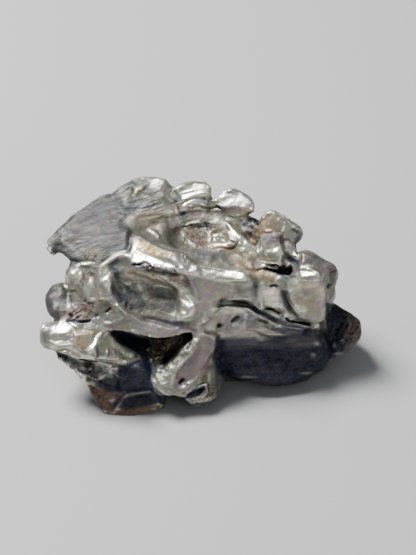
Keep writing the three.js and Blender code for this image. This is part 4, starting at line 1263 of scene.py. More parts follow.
class Cleft(Form):
    """The dark cleft between the foot and the strut."""

    glints = each(Glint, (148, 349.5, 1.6, 1.6, 0.6), (151, 360, 1.2, 3, 0.6))
    strokes = each(
        Stroke, ((147, 351, 149, 348, 151, 350), 1.4, 0.25), ((147, 363, 151, 362, 152, 358), 1.4, 0.2),
        ((154, 358, 164, 356, 172, 354), 2, 0.2), ((160, 344, 168, 350, 174, 348), 2, 0.16),
    )
    crumbs = each(Crumb, ((150, 340, 182, 338, 178, 352, 158, 362, 148, 356), 0.7, 0.08))
    # The oxide washes along the cleft's edges paint its shade.
    washes = each(
        Wash,
        ((108, 331, 130, 333, 146, 338, 152, 342, 148, 356, 152, 374, 146, 370, 140, 356, 126, 346), {OXIDE: 0.95},
            2),
        ((150, 340, 190, 336, 184, 348, 168, 362, 154, 366, 148, 356), {OXIDE: -0.8}),
        ((145, 340, 152, 344, 153, 372, 149, 380, 145, 372), {OXIDE: 0.8}, 2),
        ((152, 342, 186, 338, 182, 348, 166, 362, 154, 362), {STRAW: 0.6}, 4),
    )


class Strut(Form):
    """The smooth pinkish strut that leans across the front, with a crumbly pale bevel."""

    smooths = each(Smooth, ((203, 334, 218, 336, 213, 352, 200, 380, 186, 390, 172, 390, 180, 366, 196, 348), 10))
    facets = each(
        Facet,
        ((203, 334, 218, 336, 215, 350, 206, 360, 200, 376, 182, 386, 176, 374), (-0.1, -0.85, 0.5), 0.75, 5, 0.6),
        ((196, 336, 199, 342, 190, 356, 176, 372, 172, 384, 160, 386, 154, 374, 168, 364), (-0.5, -0.5, 0.7), 0.6, 4,
            0.5),
        ((182, 392, 192, 387, 207, 383, 209, 392, 204, 398, 184, 401), (-0.1, -0.8, 0.58), 0.7, 2, 1.6, True),
        ((160, 386, 178, 388, 190, 386, 186, 391, 176, 394, 166, 392), (-0.1, -0.85, 0.5), 0.5, 3),
    )
    glints = each(
        Glint, (164, 383, 4, 4, 0.5, 0.4), (182.5, 387, 2.4, 2, 0.7), (196, 339, 2.6, 2, 0.5, 0.4),
        (171, 366, 3, 2.4, 0.5, 0.4), (155, 380, 2, 4, 0.5, 0.4), (178, 358, 3, 2.6, 0.45, 0.4),
        (209, 378, 1.6, 5, 0.4, 0.3), (190, 351, 2.4, 3, 0.4, 0.3),
    )
    strokes = each(
        Stroke, ((199, 344, 190, 356, 178, 368, 172, 380, 170, 387), 1.4, 0.16),
        ((187, 350, 188, 346, 190, 343), 1.4, -0.35, ROUND, {OXIDE: 0.6}),
        ((179, 384, 184, 379), 1.5, -0.45, ROUND, {OXIDE: 0.8}),
        ((186, 384, 192, 382, 196, 378, 196.5, 375), 1.3, 0.14), ((178, 389, 182, 387), 1.5, 0.12),
        ((155, 386, 162, 391, 170, 395.5, 179, 396.5, 187, 393, 196, 390, 203, 387), 1.8, 0.16),
        ((187, 396, 191, 393.5, 204, 388.5), 1.8, -0.35), ((196, 396, 203, 390), 1.4, -0.2),
        ((188, 400, 198, 400.5, 206, 398, 213, 396), 1.6, 0.14), ((217, 338, 214.5, 350, 209.5, 362), 1.5, 0.12),
        ((209.5, 368, 209, 378, 208.5, 388), 1.4, 0.1), ((160, 366, 164, 370, 163, 375), 2, -0.12),
    )
    crumbs = each(
        Crumb, ((190, 341, 197, 336, 198, 344, 184, 360, 172, 370, 160, 384, 155, 374, 172, 362), 0.9, 0.05),
        ((186, 398, 204, 394, 210, 380, 216, 384, 214, 398, 196, 406), 0.55, 0.07, 2),
    )
    # The oxide along the strut's bottom edges paints the shade under its lip.
    washes = each(
        Wash, ((200, 333, 220, 333, 208, 366, 200, 380, 186, 391, 172, 388, 180, 366, 196, 348), {MAUVE: 0.9}),
        ((196, 337, 192, 354, 176, 368, 170, 388, 158, 387, 153, 374), {OLIVE: 0.3}, 4),
        ((196, 337, 192, 354, 178, 366, 166, 372, 153, 374), {DULL: 0.35}, 4),
        ((156, 387, 190, 388, 186, 395, 168, 396), {MAUVE: 0.5}),
        ((158, 395, 186, 397, 188, 405, 176, 408, 160, 404), {OXIDE: 0.85}, 2),
        ((185, 397, 193, 390, 205, 386, 205.5, 390, 199, 396, 188, 399), {OXIDE: 0.85}, 1.2),
        ((188, 401, 212, 391, 213, 398, 200, 402), {OXIDE: -0.8}, 1.5),
        ((190, 404, 210, 401, 212, 405, 200, 410, 188, 408), {OXIDE: 0.7}, 1.5),
        ((200, 366, 217, 364, 217, 396, 202, 398), {DULL: 0.6, OLIVE: 0.35}, 4),
        ((216, 364, 232, 362, 234, 396, 216, 398), {OXIDE: 0.5}),
        ((162, 354, 172, 353, 172, 364, 163, 364), {OXIDE: -0.5, POLISH: 0.3}),
    )
    streaks = each(Streak, ((198, 396, 203.5, 388), 1.8, {OXIDE: 0.95}))


class Shelf(Form):
    """The shelf right of the ridge, its bowl, and the lip that overhangs the tongue."""

    smooths = each(Smooth, ((224, 284, 256, 282, 282, 290, 298, 318, 280, 316, 256, 300, 226, 299), 10))
    facets = each(
        Facet,
        ((220, 300, 246, 300, 253, 303, 263, 311, 276, 317, 291, 322, 314, 327, 300, 330, 284, 328, 269, 322, 254,
            314, 240, 309, 222, 306), (-0.05, -0.8, 0.6), 0.7, 1.5, 2.5, True),
        ((262, 290, 272, 288, 279, 297, 281, 308, 272, 309, 264, 301), (-0.3, -0.4, 0.87), 0.6, 4),
        ((236, 280, 252, 284, 258, 298, 240, 297, 230, 290), (0, -0.6, 0.8), 0.5, 4),
        ((286, 300, 300, 322, 284, 318, 280, 308), (0.5, -0.55, 0.65), 0.5, 4),
    )
    glints = each(
        Glint, (274, 302, 4.5, 5, 0.8), (268, 295, 5, 6, 0.6, 0.5), (261, 266, 7, 2.2, 0.9),
        (246, 305, 6, 2.2, 0.4, 0.4), (226, 303, 6, 2, 0.6), (262, 283, 3, 3, 0.4, 0.3), (282, 315, 5, 1.8, 0.4, 0.4),
        (300, 320.5, 4, 1.4, 0.4, 0.4),
    )
    strokes = each(
        Stroke, ((246, 302, 256, 307, 266, 312, 277, 317.5, 288, 321), 3, 0.35),
        ((218, 300, 226, 299.5, 236, 298, 246, 298.5, 254, 302, 262, 309, 272, 315, 284, 319.5, 298, 323, 313, 325),
            1.6, 0.2),
        ((270, 286.5, 275, 285.5, 278, 287.5), 1.3, -0.35, ROUND, {OXIDE: 0.8}),
        ((281, 290, 285, 299, 290, 308, 298, 317), 2.4, -0.2), ((253, 267, 261, 264.5, 268, 267), 1.6, 0.14),
        ((254, 286, 258, 282), 2, -0.14), ((275, 281, 285, 279, 292, 281), 1.6, 0.12),
        ((258, 298, 264, 306, 272, 311), 1.8, 0.08),
        ((257, 305, 266, 309, 276, 314, 286, 319), 3.2, 0.75, ROUND, {POLISH: 0.3, OXIDE: -0.9, DULL: -0.6}),
    )
    # The polish in the shelf's bowl is a painted highlight, and the oxide under the lip paints the shade that it
    # casts on the tongue.
    washes = each(
        Wash, ((222, 282, 256, 270, 292, 280, 296, 316, 224, 299), {OXIDE: -0.6}, 4),
        ((222, 284, 250, 288, 250, 298, 222, 299), {MAUVE: 0.35}, 5),
        ((258, 284, 278, 288, 284, 308, 272, 312, 258, 302), {POLISH: 0.6}, 5),
        ((252, 272, 286, 280, 290, 288, 272, 290, 256, 282), {OLIVE: 0.4}, 4),
        ((253, 282, 259, 281, 260, 288, 254, 289), {OXIDE: 0.35}),
        ((248, 268, 270, 270, 282, 278, 270, 284, 254, 278), {STRAW: 0.6}, 4),
        ((240, 264, 254, 268, 262, 273, 250, 274), {RUST: 0.35}),
        ((281, 290, 286, 291, 292, 305, 299, 316, 298, 321, 289, 310), {OXIDE: 0.4}),
        ((218, 301.5, 250, 303, 262, 311, 290, 322.5, 316, 327.5, 300, 328, 270, 320, 255, 312, 240, 308, 228, 306),
            {OXIDE: 0.5}, 1.5),
        ((218, 299, 236, 299, 252, 301, 292, 320, 316, 326, 300, 329, 270, 322, 255, 314, 240, 309, 228, 307),
            {MAUVE: 0.5, DULL: 0.6}, 1.5),
        ((218, 300, 236, 300, 252, 302, 280, 316, 276, 324, 255, 314, 240, 309, 228, 307), {OXIDE: 0.35}, 1.5),
        ((264, 289, 274, 288, 280, 298, 280, 307, 272, 308, 265, 300), {POLISH: 0.6, OXIDE: -0.8}, 2.5),
        ((281, 290, 288, 290, 292, 304, 298, 316, 290, 314, 283, 306), {OXIDE: 0.3, DULL: 0.5}, 2.5),
        ((252, 284, 262, 286, 262, 296, 256, 300, 250, 294), {DULL: 0.4, MAUVE: 0.4}, 4),
        ((253, 281, 268, 281, 268, 290, 255, 292), {OXIDE: 0.2}),
    )
    streaks = each(Streak, ((262, 309, 272, 315, 284, 319.5, 298, 323), 1.4, {POLISH: 0.4}))


class CornerBlock(Form):
    """The block at the upper right, domed in front, with a deep crack under it."""

    smooths = each(
        Smooth, ((260, 214, 276, 210, 304, 230, 298, 260, 294, 266, 258, 262), 10),
        ((258, 232, 276, 228, 286, 244, 288, 262, 262, 264), 16),
    )
    domes = each(Dome, (272, 251, 12, 12, 0.06, 0))
    facets = each(
        Facet, ((260, 236, 281, 234, 285, 252, 279, 262, 262, 260), (-0.1, -0.78, 0.62), 0.7, 5, 0.8),
        ((252, 260, 279, 263, 279, 271, 254, 268), (-0.15, -0.75, 0.65), 0.95, 2.5, 2.5, True),
        ((276, 214, 284, 217.5, 293, 225, 302, 231, 296, 230, 276, 218), GLARE, 0.7, 2),
        ((262, 216, 274, 212, 280, 222, 282, 232, 268, 232, 260, 230), (-0.15, -0.6, 0.8), 0.5, 4),
        ((285, 226, 298, 232, 296, 240, 288, 240, 282, 232), (0.35, -0.7, 0.5), 0.6, 3),
        ((283, 239, 289, 240, 296, 252, 298, 257, 292, 256, 286, 248), (-0.1, -0.45, 0.9), 0.6, 2),
    )
    glints = each(
        Glint, (275.5, 249.5, 4.5, 5.5, 0.98, 0.95), (268, 251, 4, 5, 0.4, 0.4), (281, 217.5, 5, 1.6, 0.6),
        (292, 225.5, 5, 1.6, 0.6), (293, 252, 2.6, 4, 0.8), (286, 242, 3, 2, 0.6), (261, 265.5, 6, 2, 0.8),
        (287, 266.5, 6, 1.4, 0.5, 0.4), (275.5, 249, 2.4, 3.4, 0.5, 0.4),
    )
    strokes = each(
        Stroke, ((277, 262, 285, 264, 294, 264), 2.8, 0.55),
        ((256, 272, 266, 274.5, 276, 277, 286, 279.5, 297, 278), 2.6, 0.55),
        ((276, 214.5, 285, 219.5, 293, 226, 301, 231), 1.5, 0.12), ((274, 211.5, 284, 215.5, 294, 222), 1.3, -0.1),
        ((281, 237, 284.5, 247, 289, 257, 294, 262, 299, 267), 2, -0.32), ((279, 268, 285, 270, 292, 270), 2.4, 0.6),
        ((280, 265, 285, 267, 294, 268), 1.5, 0.12), ((264, 232, 272, 232, 280, 238), 1.6, 0.1),
        ((262, 244, 264, 254, 270, 261, 278, 265), 1.4, -0.1), ((284, 226, 282, 238), 1.3, 0.08),
        ((258, 262, 266, 264, 276, 266), 1.3, -0.1),
    )
    crumbs = each(Crumb, ((254, 226, 262, 222, 262, 244, 254, 240), 0.6, 0.09))
    # The oxide in the crack under the block is painted shade, the dull on the dome's top is painted shade over a
    # highlight, and the polish washes are painted highlights.
    washes = each(
        Wash, ((260, 230, 283, 231, 283, 243, 264, 244), {POLISH: -0.8, DULL: 0.85, MAUVE: 0.6}, 4),
        ((262, 233, 282, 234, 280, 243, 264, 244), {OXIDE: 0.43}, 4),
        ((262, 212, 278, 213, 284, 226, 276, 232, 256, 236, 254, 226), {STRAW: 0.6, MAUVE: 0.4, DULL: 0.3}, 4),
        ((284, 226, 300, 232, 298, 241, 286, 240), {DULL: 0.35, MAUVE: 0.4}),
        ((274, 210, 284, 214, 296, 222, 303, 229, 296, 227), {RUST: 0.35}, 1.5),
        ((287, 257, 300, 260, 300, 270, 292, 268), {OXIDE: 0.75}, 2),
        ((276, 271, 299, 269, 297, 277, 286, 279, 277, 275), {OXIDE: 0.8}, 1.5),
        ((276, 268, 284, 266, 299, 266, 299, 272, 286, 273), {RUST: 0.3}, 2),
        ((294, 238, 302, 233, 299, 250, 295, 250), {OXIDE: 0.5}),
        ((248, 232, 256, 234, 258, 244, 252, 242), {RUST: 0.4}),
        ((262, 243, 271, 242, 274, 254, 268, 260, 262, 256), {POLISH: -0.5, DULL: 0.3}),
        ((276, 264, 300, 262, 300, 276, 284, 278), {OXIDE: -0.4, MAUVE: 0.6, RUST: 0.3}, 2),
        ((256, 257, 286, 259, 285, 268, 258, 266), {OXIDE: -0.9, POLISH: 0.5}),
        ((274, 248, 285, 250, 286, 260, 276, 260), {OXIDE: -0.5, POLISH: 0.25}),
        ((289, 256, 300, 257, 301, 277, 291, 277), {OXIDE: 0.3, DULL: 0.3}),
        ((299, 255, 313, 257, 312, 266, 300, 266), {OXIDE: 0.3, DULL: 0.4}),
    )
    streaks = each(Streak, ((262, 269.5, 268, 270.5, 276, 273, 284, 275), 1.3, {OXIDE: 0.9}))


class EndBlock(Form):
    """The squared block at the right end, with a gray top and a beige front."""

    facets = each(
        Facet, ((302, 252, 334, 265, 335, 270, 321, 272, 302, 264), (0.15, -0.5, 0.85), 0.7, 3),
        ((299, 270, 306, 269, 320, 273, 320, 277, 300, 276), GLARE, 0.7, 2),
        ((296, 286, 320, 284, 324, 300, 322, 324, 302, 318, 290, 300, 292, 290), (-0.1, -0.72, 0.68), 0.6, 6, 0.6),
        ((326, 292, 332, 296, 328, 306, 325, 308), (0.5, -0.6, 0.6), 0.5, 2),
        ((328, 272, 336, 270, 334, 280, 329, 284), (0.6, -0.6, 0.4), 0.5, 2),
    )
    glints = each(
        Glint, (307, 267, 4.5, 2.6, 0.7, 0.5), (309, 273.5, 9, 2.4, 0.9), (294.5, 281.5, 3, 2.4, 0.9),
        (291, 290, 3, 2, 0.85), (301.5, 295.5, 2, 1.6, 0.6, 0.4), (318, 325.5, 4, 3, 0.8),
        (312, 286, 6, 2.4, 0.35, 0.3), (295, 308, 3, 5, 0.4, 0.3), (328, 297, 1.8, 3.4, 0.35, 0.3),
    )
    strokes = each(
        Stroke, ((300, 266, 306, 268.5, 314, 271.5, 321, 274), 1.4, 0.1),
        ((300, 279, 310, 280, 321, 279), 1.6, -0.08), ((323, 276, 323, 290, 325, 300), 1.4, 0.08),
        ((330, 284, 328, 288), 1.6, -0.25, ROUND, {OXIDE: 0.5}),
        ((287, 292, 288, 300, 293, 308, 299, 318), 1.6, 0.12), ((314, 326, 320, 324), 2, 0.16),
        ((325, 308, 324, 318, 323, 326), 1.4, 0.1), ((289, 290, 293, 291), 1.8, 0.12),
        ((291, 281, 296, 283), 2, 0.12),
    )
    # The dull wash on the block's top is partly matte metal and partly painted shade; the polish washes are painted
    # highlights.
    washes = each(
        Wash, ((300, 250, 337, 264, 337, 272, 322, 273, 300, 264), {DULL: 0.95, MAUVE: 0.4}, 2.5),
        ((293, 282, 322, 280, 326, 300, 318, 312, 300, 314), {STRAW: 0.35, OLIVE: 0.35}, 8),
        ((304, 308, 324, 304, 322, 326, 304, 321), {MAUVE: 0.7}, 6),
        ((325, 274, 337, 270, 336, 290, 330, 304, 325, 304), {DULL: 0.4}, 4),
        ((329, 268, 337, 270, 335, 282, 330, 286), {OXIDE: 0.3}, 2),
        ((292, 280, 302, 277, 322, 277, 318, 286, 300, 290), {POLISH: 0.25}, 4),
        ((290, 286, 324, 282, 324, 322, 302, 318, 290, 302), {POLISH: 0.18}, 5),
        ((314, 290, 324, 288, 324, 300, 316, 302), {POLISH: 0.3}, 4),
        ((310, 321, 326, 320, 326, 331, 312, 331), {OXIDE: -0.9, POLISH: 0.35}, 2.5),
        ((287, 281, 300, 281, 300, 292, 288, 292), {POLISH: 0.4}),
    )


class Tongue(Form):
    """The pinkish tongue under the shelf's lip, pitted and crumbled along its top."""

    facets = each(
        Facet,
        ((246, 311, 256, 314, 270, 321, 285, 326, 304, 329, 300, 336, 270, 336, 246, 328), (-0.05, -0.75, 0.65), 0.95,
            3, 2.5, True),
        ((222, 312, 244, 313, 262, 320, 268, 330, 216, 332), (-0.1, -0.65, 0.75), 0.6, 5),
    )
    glints = each(
        Glint, (214, 310, 4, 2, 0.6), (238, 309, 8, 1.6, 0.6, 0.5), (234, 325, 2.6, 2, 0.6, 0.4),
        (262, 317, 5, 1.6, 0.6, 0.5), (278, 326, 5, 1.8, 0.7, 0.5), (204, 320, 2.4, 4, 0.5, 0.4),
    )
    strokes = each(
        Stroke, ((211, 309.5, 225, 306.5, 236, 308, 246, 309, 256, 315), 1.5, 0.18),
        ((231, 322, 235, 318.5, 239, 316), 1.4, -0.3, ROUND, {OXIDE: 0.7}),
        ((231, 326, 235, 324, 238, 321), 1.3, 0.14), ((217.5, 326.5, 221, 324.5), 1.6, -0.45, ROUND, {OXIDE: 0.95}),
        ((249, 312, 262, 318, 268, 320.5, 275, 325, 288, 332), 1.4, 0.16),
        ((258, 319.5, 268, 323), 1.3, -0.2, ROUND, {OXIDE: 0.6}),
        ((219, 336, 226, 336, 236, 335, 250, 335, 266, 336), 1.6, 0.1), ((206, 313, 200, 320, 199, 326), 1.6, 0.12),
        ((256, 325, 262, 328, 268, 330), 1.6, 0.08),
        ((212, 309.5, 225, 306.5, 246, 308.5, 256, 314.5, 268, 320.5, 280, 327), 1.3, 0.12, SHARP, {POLISH: 0.5,
            OXIDE: -0.9, DULL: -0.9}),
    )
    crumbs = each(Crumb, ((254, 313, 270, 320, 288, 331, 284, 335, 262, 327), 0.55, 0.07, 2.5))
    # The oxide at the right end paints the shade under the shelf's lip; the polish along the top edge is partly a
    # painted highlight.
    washes = each(
        Wash, ((212, 308, 246, 309, 262, 318, 250, 320, 226, 314, 210, 316), {POLISH: 0.3}),
        ((206, 314, 246, 309, 280, 328, 262, 334, 206, 332), {OXIDE: -0.5, MAUVE: 0.65, POLISH: 0.15}, 4),
        ((274, 323, 318, 329, 308, 336, 284, 335, 270, 330), {OXIDE: 0.75}, 2.5),
    )
    streaks = each(Streak, ((217, 336, 220, 338), 1.8, {OXIDE: 0.7}))


class DarkFace(Form):
    """The dark face that turns under at the lower right, faintly banded."""

    facets = each(
        Facet, ((222, 342, 320, 334, 326, 350, 300, 376, 240, 372, 222, 362), (0.15, -0.97, 0.05), 0.5, 10, 0.5),
    )
    glints = each(
        Glint, (317, 343.5, 3.4, 2.4, 0.5, 0.4), (313, 355, 3, 3, 0.4, 0.4), (306, 373, 6, 1.2, 0.4, 0.3),
        (247, 377, 9, 1.2, 0.35, 0.3), (261, 339.5, 5, 1.8, 0.35, 0.3),
    )
    strokes = each(
        Stroke, ((224, 346, 250, 344, 280, 346, 310, 342), 2, 0.14),
        ((240, 352, 262, 350, 290, 352, 310, 349), 2, -0.1), ((272, 358, 278, 359.5, 284, 359), 1.6, -0.25),
        ((236, 377, 250, 377, 258, 378), 1.3, 0.12), ((310, 343, 316, 342.5, 321, 345), 1.8, 0.18),
        ((308, 356, 314, 354, 318, 357), 2, 0.2), ((254, 338, 262, 340, 266, 339), 1.4, 0.12),
        ((300, 372, 308, 373, 314, 371), 1.5, 0.12), ((218, 352, 226, 358, 232, 366), 2.6, -0.25),
        ((230, 362, 250, 361, 276, 364, 300, 360), 2.2, 0.08),
    )
    grains = each(Grain, ((216, 340, 322, 330, 332, 350, 300, 384, 236, 378), (1, 0.04), 18, 4, 0.05, 6))
    crumbs = each(Crumb, ((216, 352, 232, 356, 236, 376, 220, 372), 0.6, 0.09, 4))
    # The oxide washes are partly crust and partly painted shade of the undercut face, darker towards the bottom.
    washes = each(
        Wash, ((214, 338, 270, 337, 324, 326, 336, 350, 320, 376, 300, 388, 265, 393, 212, 372), {BANDS: 0.8}, 6),
        ((216, 339, 270, 338, 322, 328, 336, 350, 322, 376, 300, 388, 265, 393, 218, 374, 212, 358), {OXIDE: 0.85},
            5),
        ((224, 346, 320, 344, 330, 350, 320, 374, 300, 386, 265, 391, 220, 370), {OXIDE: 0.25}, 12),
        ((214, 338, 256, 337, 262, 342, 216, 350), {OXIDE: 0.2}),
        ((226, 340, 316, 338, 312, 346, 228, 350), {OXIDE: -0.15, MAUVE: 0.5}),
        ((286, 334, 318, 328, 318, 345, 290, 348), {OXIDE: -0.15}, 8),
        ((222, 350, 320, 346, 316, 374, 240, 376), {RUST: 0.12}, 8),
    )


class RustedLobe(Form):
    """The rusted lobe at the far right."""

    glints = each(Glint, (334.5, 345, 1.8, 3, 0.4, 0.3), (338, 353.5, 6, 1.8, 0.35, 0.3))
    strokes = each(
        Stroke, ((350, 308, 356, 314, 359, 322, 357, 330, 350, 338), 1.8, 0.14),
        ((346, 314, 350, 322, 348, 330), 1.8, 0.12), ((330, 346, 336, 341, 342, 342), 1.6, 0.14),
        ((332, 353, 338, 355, 345, 352), 1.8, 0.14), ((342, 322, 338, 330, 334, 336), 2, -0.25),
    )
    crumbs = each(Crumb, ((328, 306, 350, 306, 362, 322, 350, 344, 336, 356, 328, 352), 0.65, 0.1))
    # The oxide on the lobe's left and lower part paints its shaded side.
    washes = each(
        Wash, ((326, 303, 350, 304, 364, 320, 360, 338, 346, 358, 328, 358), {DULL: 0.7}),
        ((326, 303, 344, 306, 348, 314, 345, 330, 341, 342, 330, 350, 324, 334), {OXIDE: 0.7}),
        ((345, 306, 364, 320, 360, 338, 346, 346, 342, 336, 346, 322), {RUST: 0.35, OLIVE: 0.6, OXIDE: 0.2}),
        ((328, 340, 346, 342, 344, 358, 330, 358), {OXIDE: 0.5}),
    )


@dataclass
class FarSide:
    """The sides that the front view doesn't show: thumbprint hollows, old rust and worn ribs."""

    edge: int = 8
    sway_size: float = 6.0
    sway_reach: float = 1.6
    print_size: float = 5.2
    print_depth: float = 0.55
    rib_share: float = 0.45
    lump_size: float = 2.6
    lump_height: float = 0.2
    pit_size: float = 0.9
    pit_depth: float = 0.12
    # How high the painted shade near the bottom reaches, in millimetres.
    low: float = 9.0
    oxide: float = 0.75
    rust: float = 0.6
    tint: float = 0.5

    def carve(self, skin: Skin) -> None:
        """Cuts the hollows where the camera doesn't see."""
        hidden = skin.spread(1.0 - skin.seen, self.edge)
        bottom = eased((skin.points[:, 2] - 0.2) / 0.8)
        shifted = [skin.noise.smooth(skin.points + shift, self.sway_size) for shift in (0.0, 31.0, 67.0)]
        places = skin.points + self.sway_reach * np.stack(shifted, axis=1)
        first, second = skin.noise.cells(places, self.print_size)
        bowl = 1.0 - eased(first * 1.5)
        rib = 1.0 - eased((second - first) * 2.4)
        height = -self.print_depth * bowl + self.rib_share * self.print_depth * rib
        height += self.lump_height * skin.noise.smooth(skin.points, self.lump_size)
        small, _ = skin.noise.cells(skin.points, self.pit_size)
        pitted = eased(1.5 * skin.noise.smooth(skin.points + 11.0, 3.5))
        height -= self.pit_depth * (1.0 - eased(small * 2.2)) * pitted
        skin.points += (height * hidden * bottom)[:, None] * skin.steady

    def stain(self, skin: Skin) -> None:
        """Lays oxide, rust and matte metal over the hidden sides, with painted shade that grows darker towards the
        bottom.
        """
        hidden = skin.spread(1.0 - skin.seen, 6)
        broad = skin.noise.smooth(skin.points + 5.0, 7.0)
        fine = skin.noise.smooth(skin.points + 17.0, 1.6)
        low = eased((self.low - skin.points[:, 2]) / self.low)
        every = np.arange(len(skin.points))
        patches = skin.noise.smooth(skin.points + 29.0, 4.0)
        # Oxide and painted shade under the stone: darker towards the bottom.
        skin.lay(OXIDE, every, hidden * self.oxide * eased(0.25 + 0.8 * low + 0.6 * broad + 0.3 * fine))
        skin.lay(RUST, every, hidden * self.rust * eased(0.9 * patches + 0.3 * fine))
        skin.lay(MAUVE, every, hidden * self.tint)
        skin.lay(OLIVE, every, hidden * self.tint * eased(0.5 - broad))


@dataclass
class Weather:
    """What time did all over: small dents and worn ribs, with the hollows darkened by oxide and painted shade."""

    swell_size: float = 2.4
    swell_height: float = 0.09
    dent_size: float = 1.1
    dent_height: float = 0.035
    grit_size: float = 0.55
    grit_height: float = 0.010
    near_passes: int = 6
    wide_passes: int = 40
    sky_rays: int = 10

    def carve(self, skin: Skin) -> None:
        """Adds gentle unevenness at three sizes."""
        bottom = eased((skin.points[:, 2] - 0.15) / 0.6)
        height = self.swell_height * skin.noise.smooth(skin.points + 3.0, self.swell_size)
        height += self.dent_height * skin.noise.smooth(skin.points + 7.0, self.dent_size)
        height += self.grit_height * skin.noise.smooth(skin.points + 13.0, self.grit_size)
        skin.points += (height * bottom)[:, None] * skin.steady

    def stain(self, skin: Skin) -> None:
        """Darkens hollows with oxide and painted shade, and polishes the ribs that stand out."""
        every = np.arange(len(skin.points))
        near = skin.bend_out(self.near_passes)
        wide = skin.bend_out(self.wide_passes)
        skin.lay(POLISH, every, 0.3 * eased(near * 12.0 - 0.2) + 0.25 * eased(wide * 3.0 - 0.2))
        # Oxide and painted shade in the hollows that sink below their surroundings.
        skin.lay(OXIDE, every, 0.5 * eased(-near * 14.0 - 0.35) + 0.3 * eased(-wide * 3.5 - 0.3))
        # Painted shade: the less of the sky a point sees, the darker it is made.
        shaded_share = 1.0 - skin.openness(self.sky_rays)
        skin.lay(OXIDE, every, 0.4 * eased((shaded_share - 0.5) * 2.2))


@dataclass(frozen=True)
class Finish:
    """How one layer looks."""

    colour: Triple
    metal: float
    roughness: float


METAL = Finish((0.46, 0.447, 0.395), 0.85, 0.40)
FINISHES = {
    # The dark dull finish is matte metal and also serves as painted shade.
    DULL: Finish((0.128, 0.126, 0.114), 0.75, 0.54),
    MAUVE: Finish((0.39, 0.325, 0.315), 0.7, 0.5),
    OLIVE: Finish((0.27, 0.255, 0.205), 0.7, 0.5),
    STRAW: Finish((0.50, 0.39, 0.26), 0.75, 0.42),
    # The near-white polish is both polished metal and the colour of painted highlights.
    POLISH: Finish((0.92, 0.885, 0.775), 1.0, 0.36),
    RUST: Finish((0.19, 0.11, 0.07), 0.15, 0.7),
    # The blue-black oxide colour is the cool dark of shade as well as of oxide.
    OXIDE: Finish((0.024, 0.029, 0.060), 0.1, 0.6),
}


class Value:
    """A shader socket that takes part in plain arithmetic."""

    def __init__(self, graph: "Graph", socket: bpy.types.NodeSocket) -> None:
        """Takes a socket of a graph."""
        self.graph = graph
        self.socket = socket

    def __add__(self, other: "Value | float") -> "Value":
        """Returns the sum."""
        return self.graph.maths("ADD", self, other)

    def __mul__(self, other: "Value | float") -> "Value":
        """Returns the product."""
        return self.graph.maths("MULTIPLY", self, other)

    def __sub__(self, other: "Value | float") -> "Value":
        """Returns the difference."""
        return self.graph.maths("SUBTRACT", self, other)

    def __rsub__(self, other: "Value | float") -> "Value":
        """Returns the difference from another."""
        return self.graph.maths("SUBTRACT", other, self)

    __radd__ = __add__
    __rmul__ = __mul__


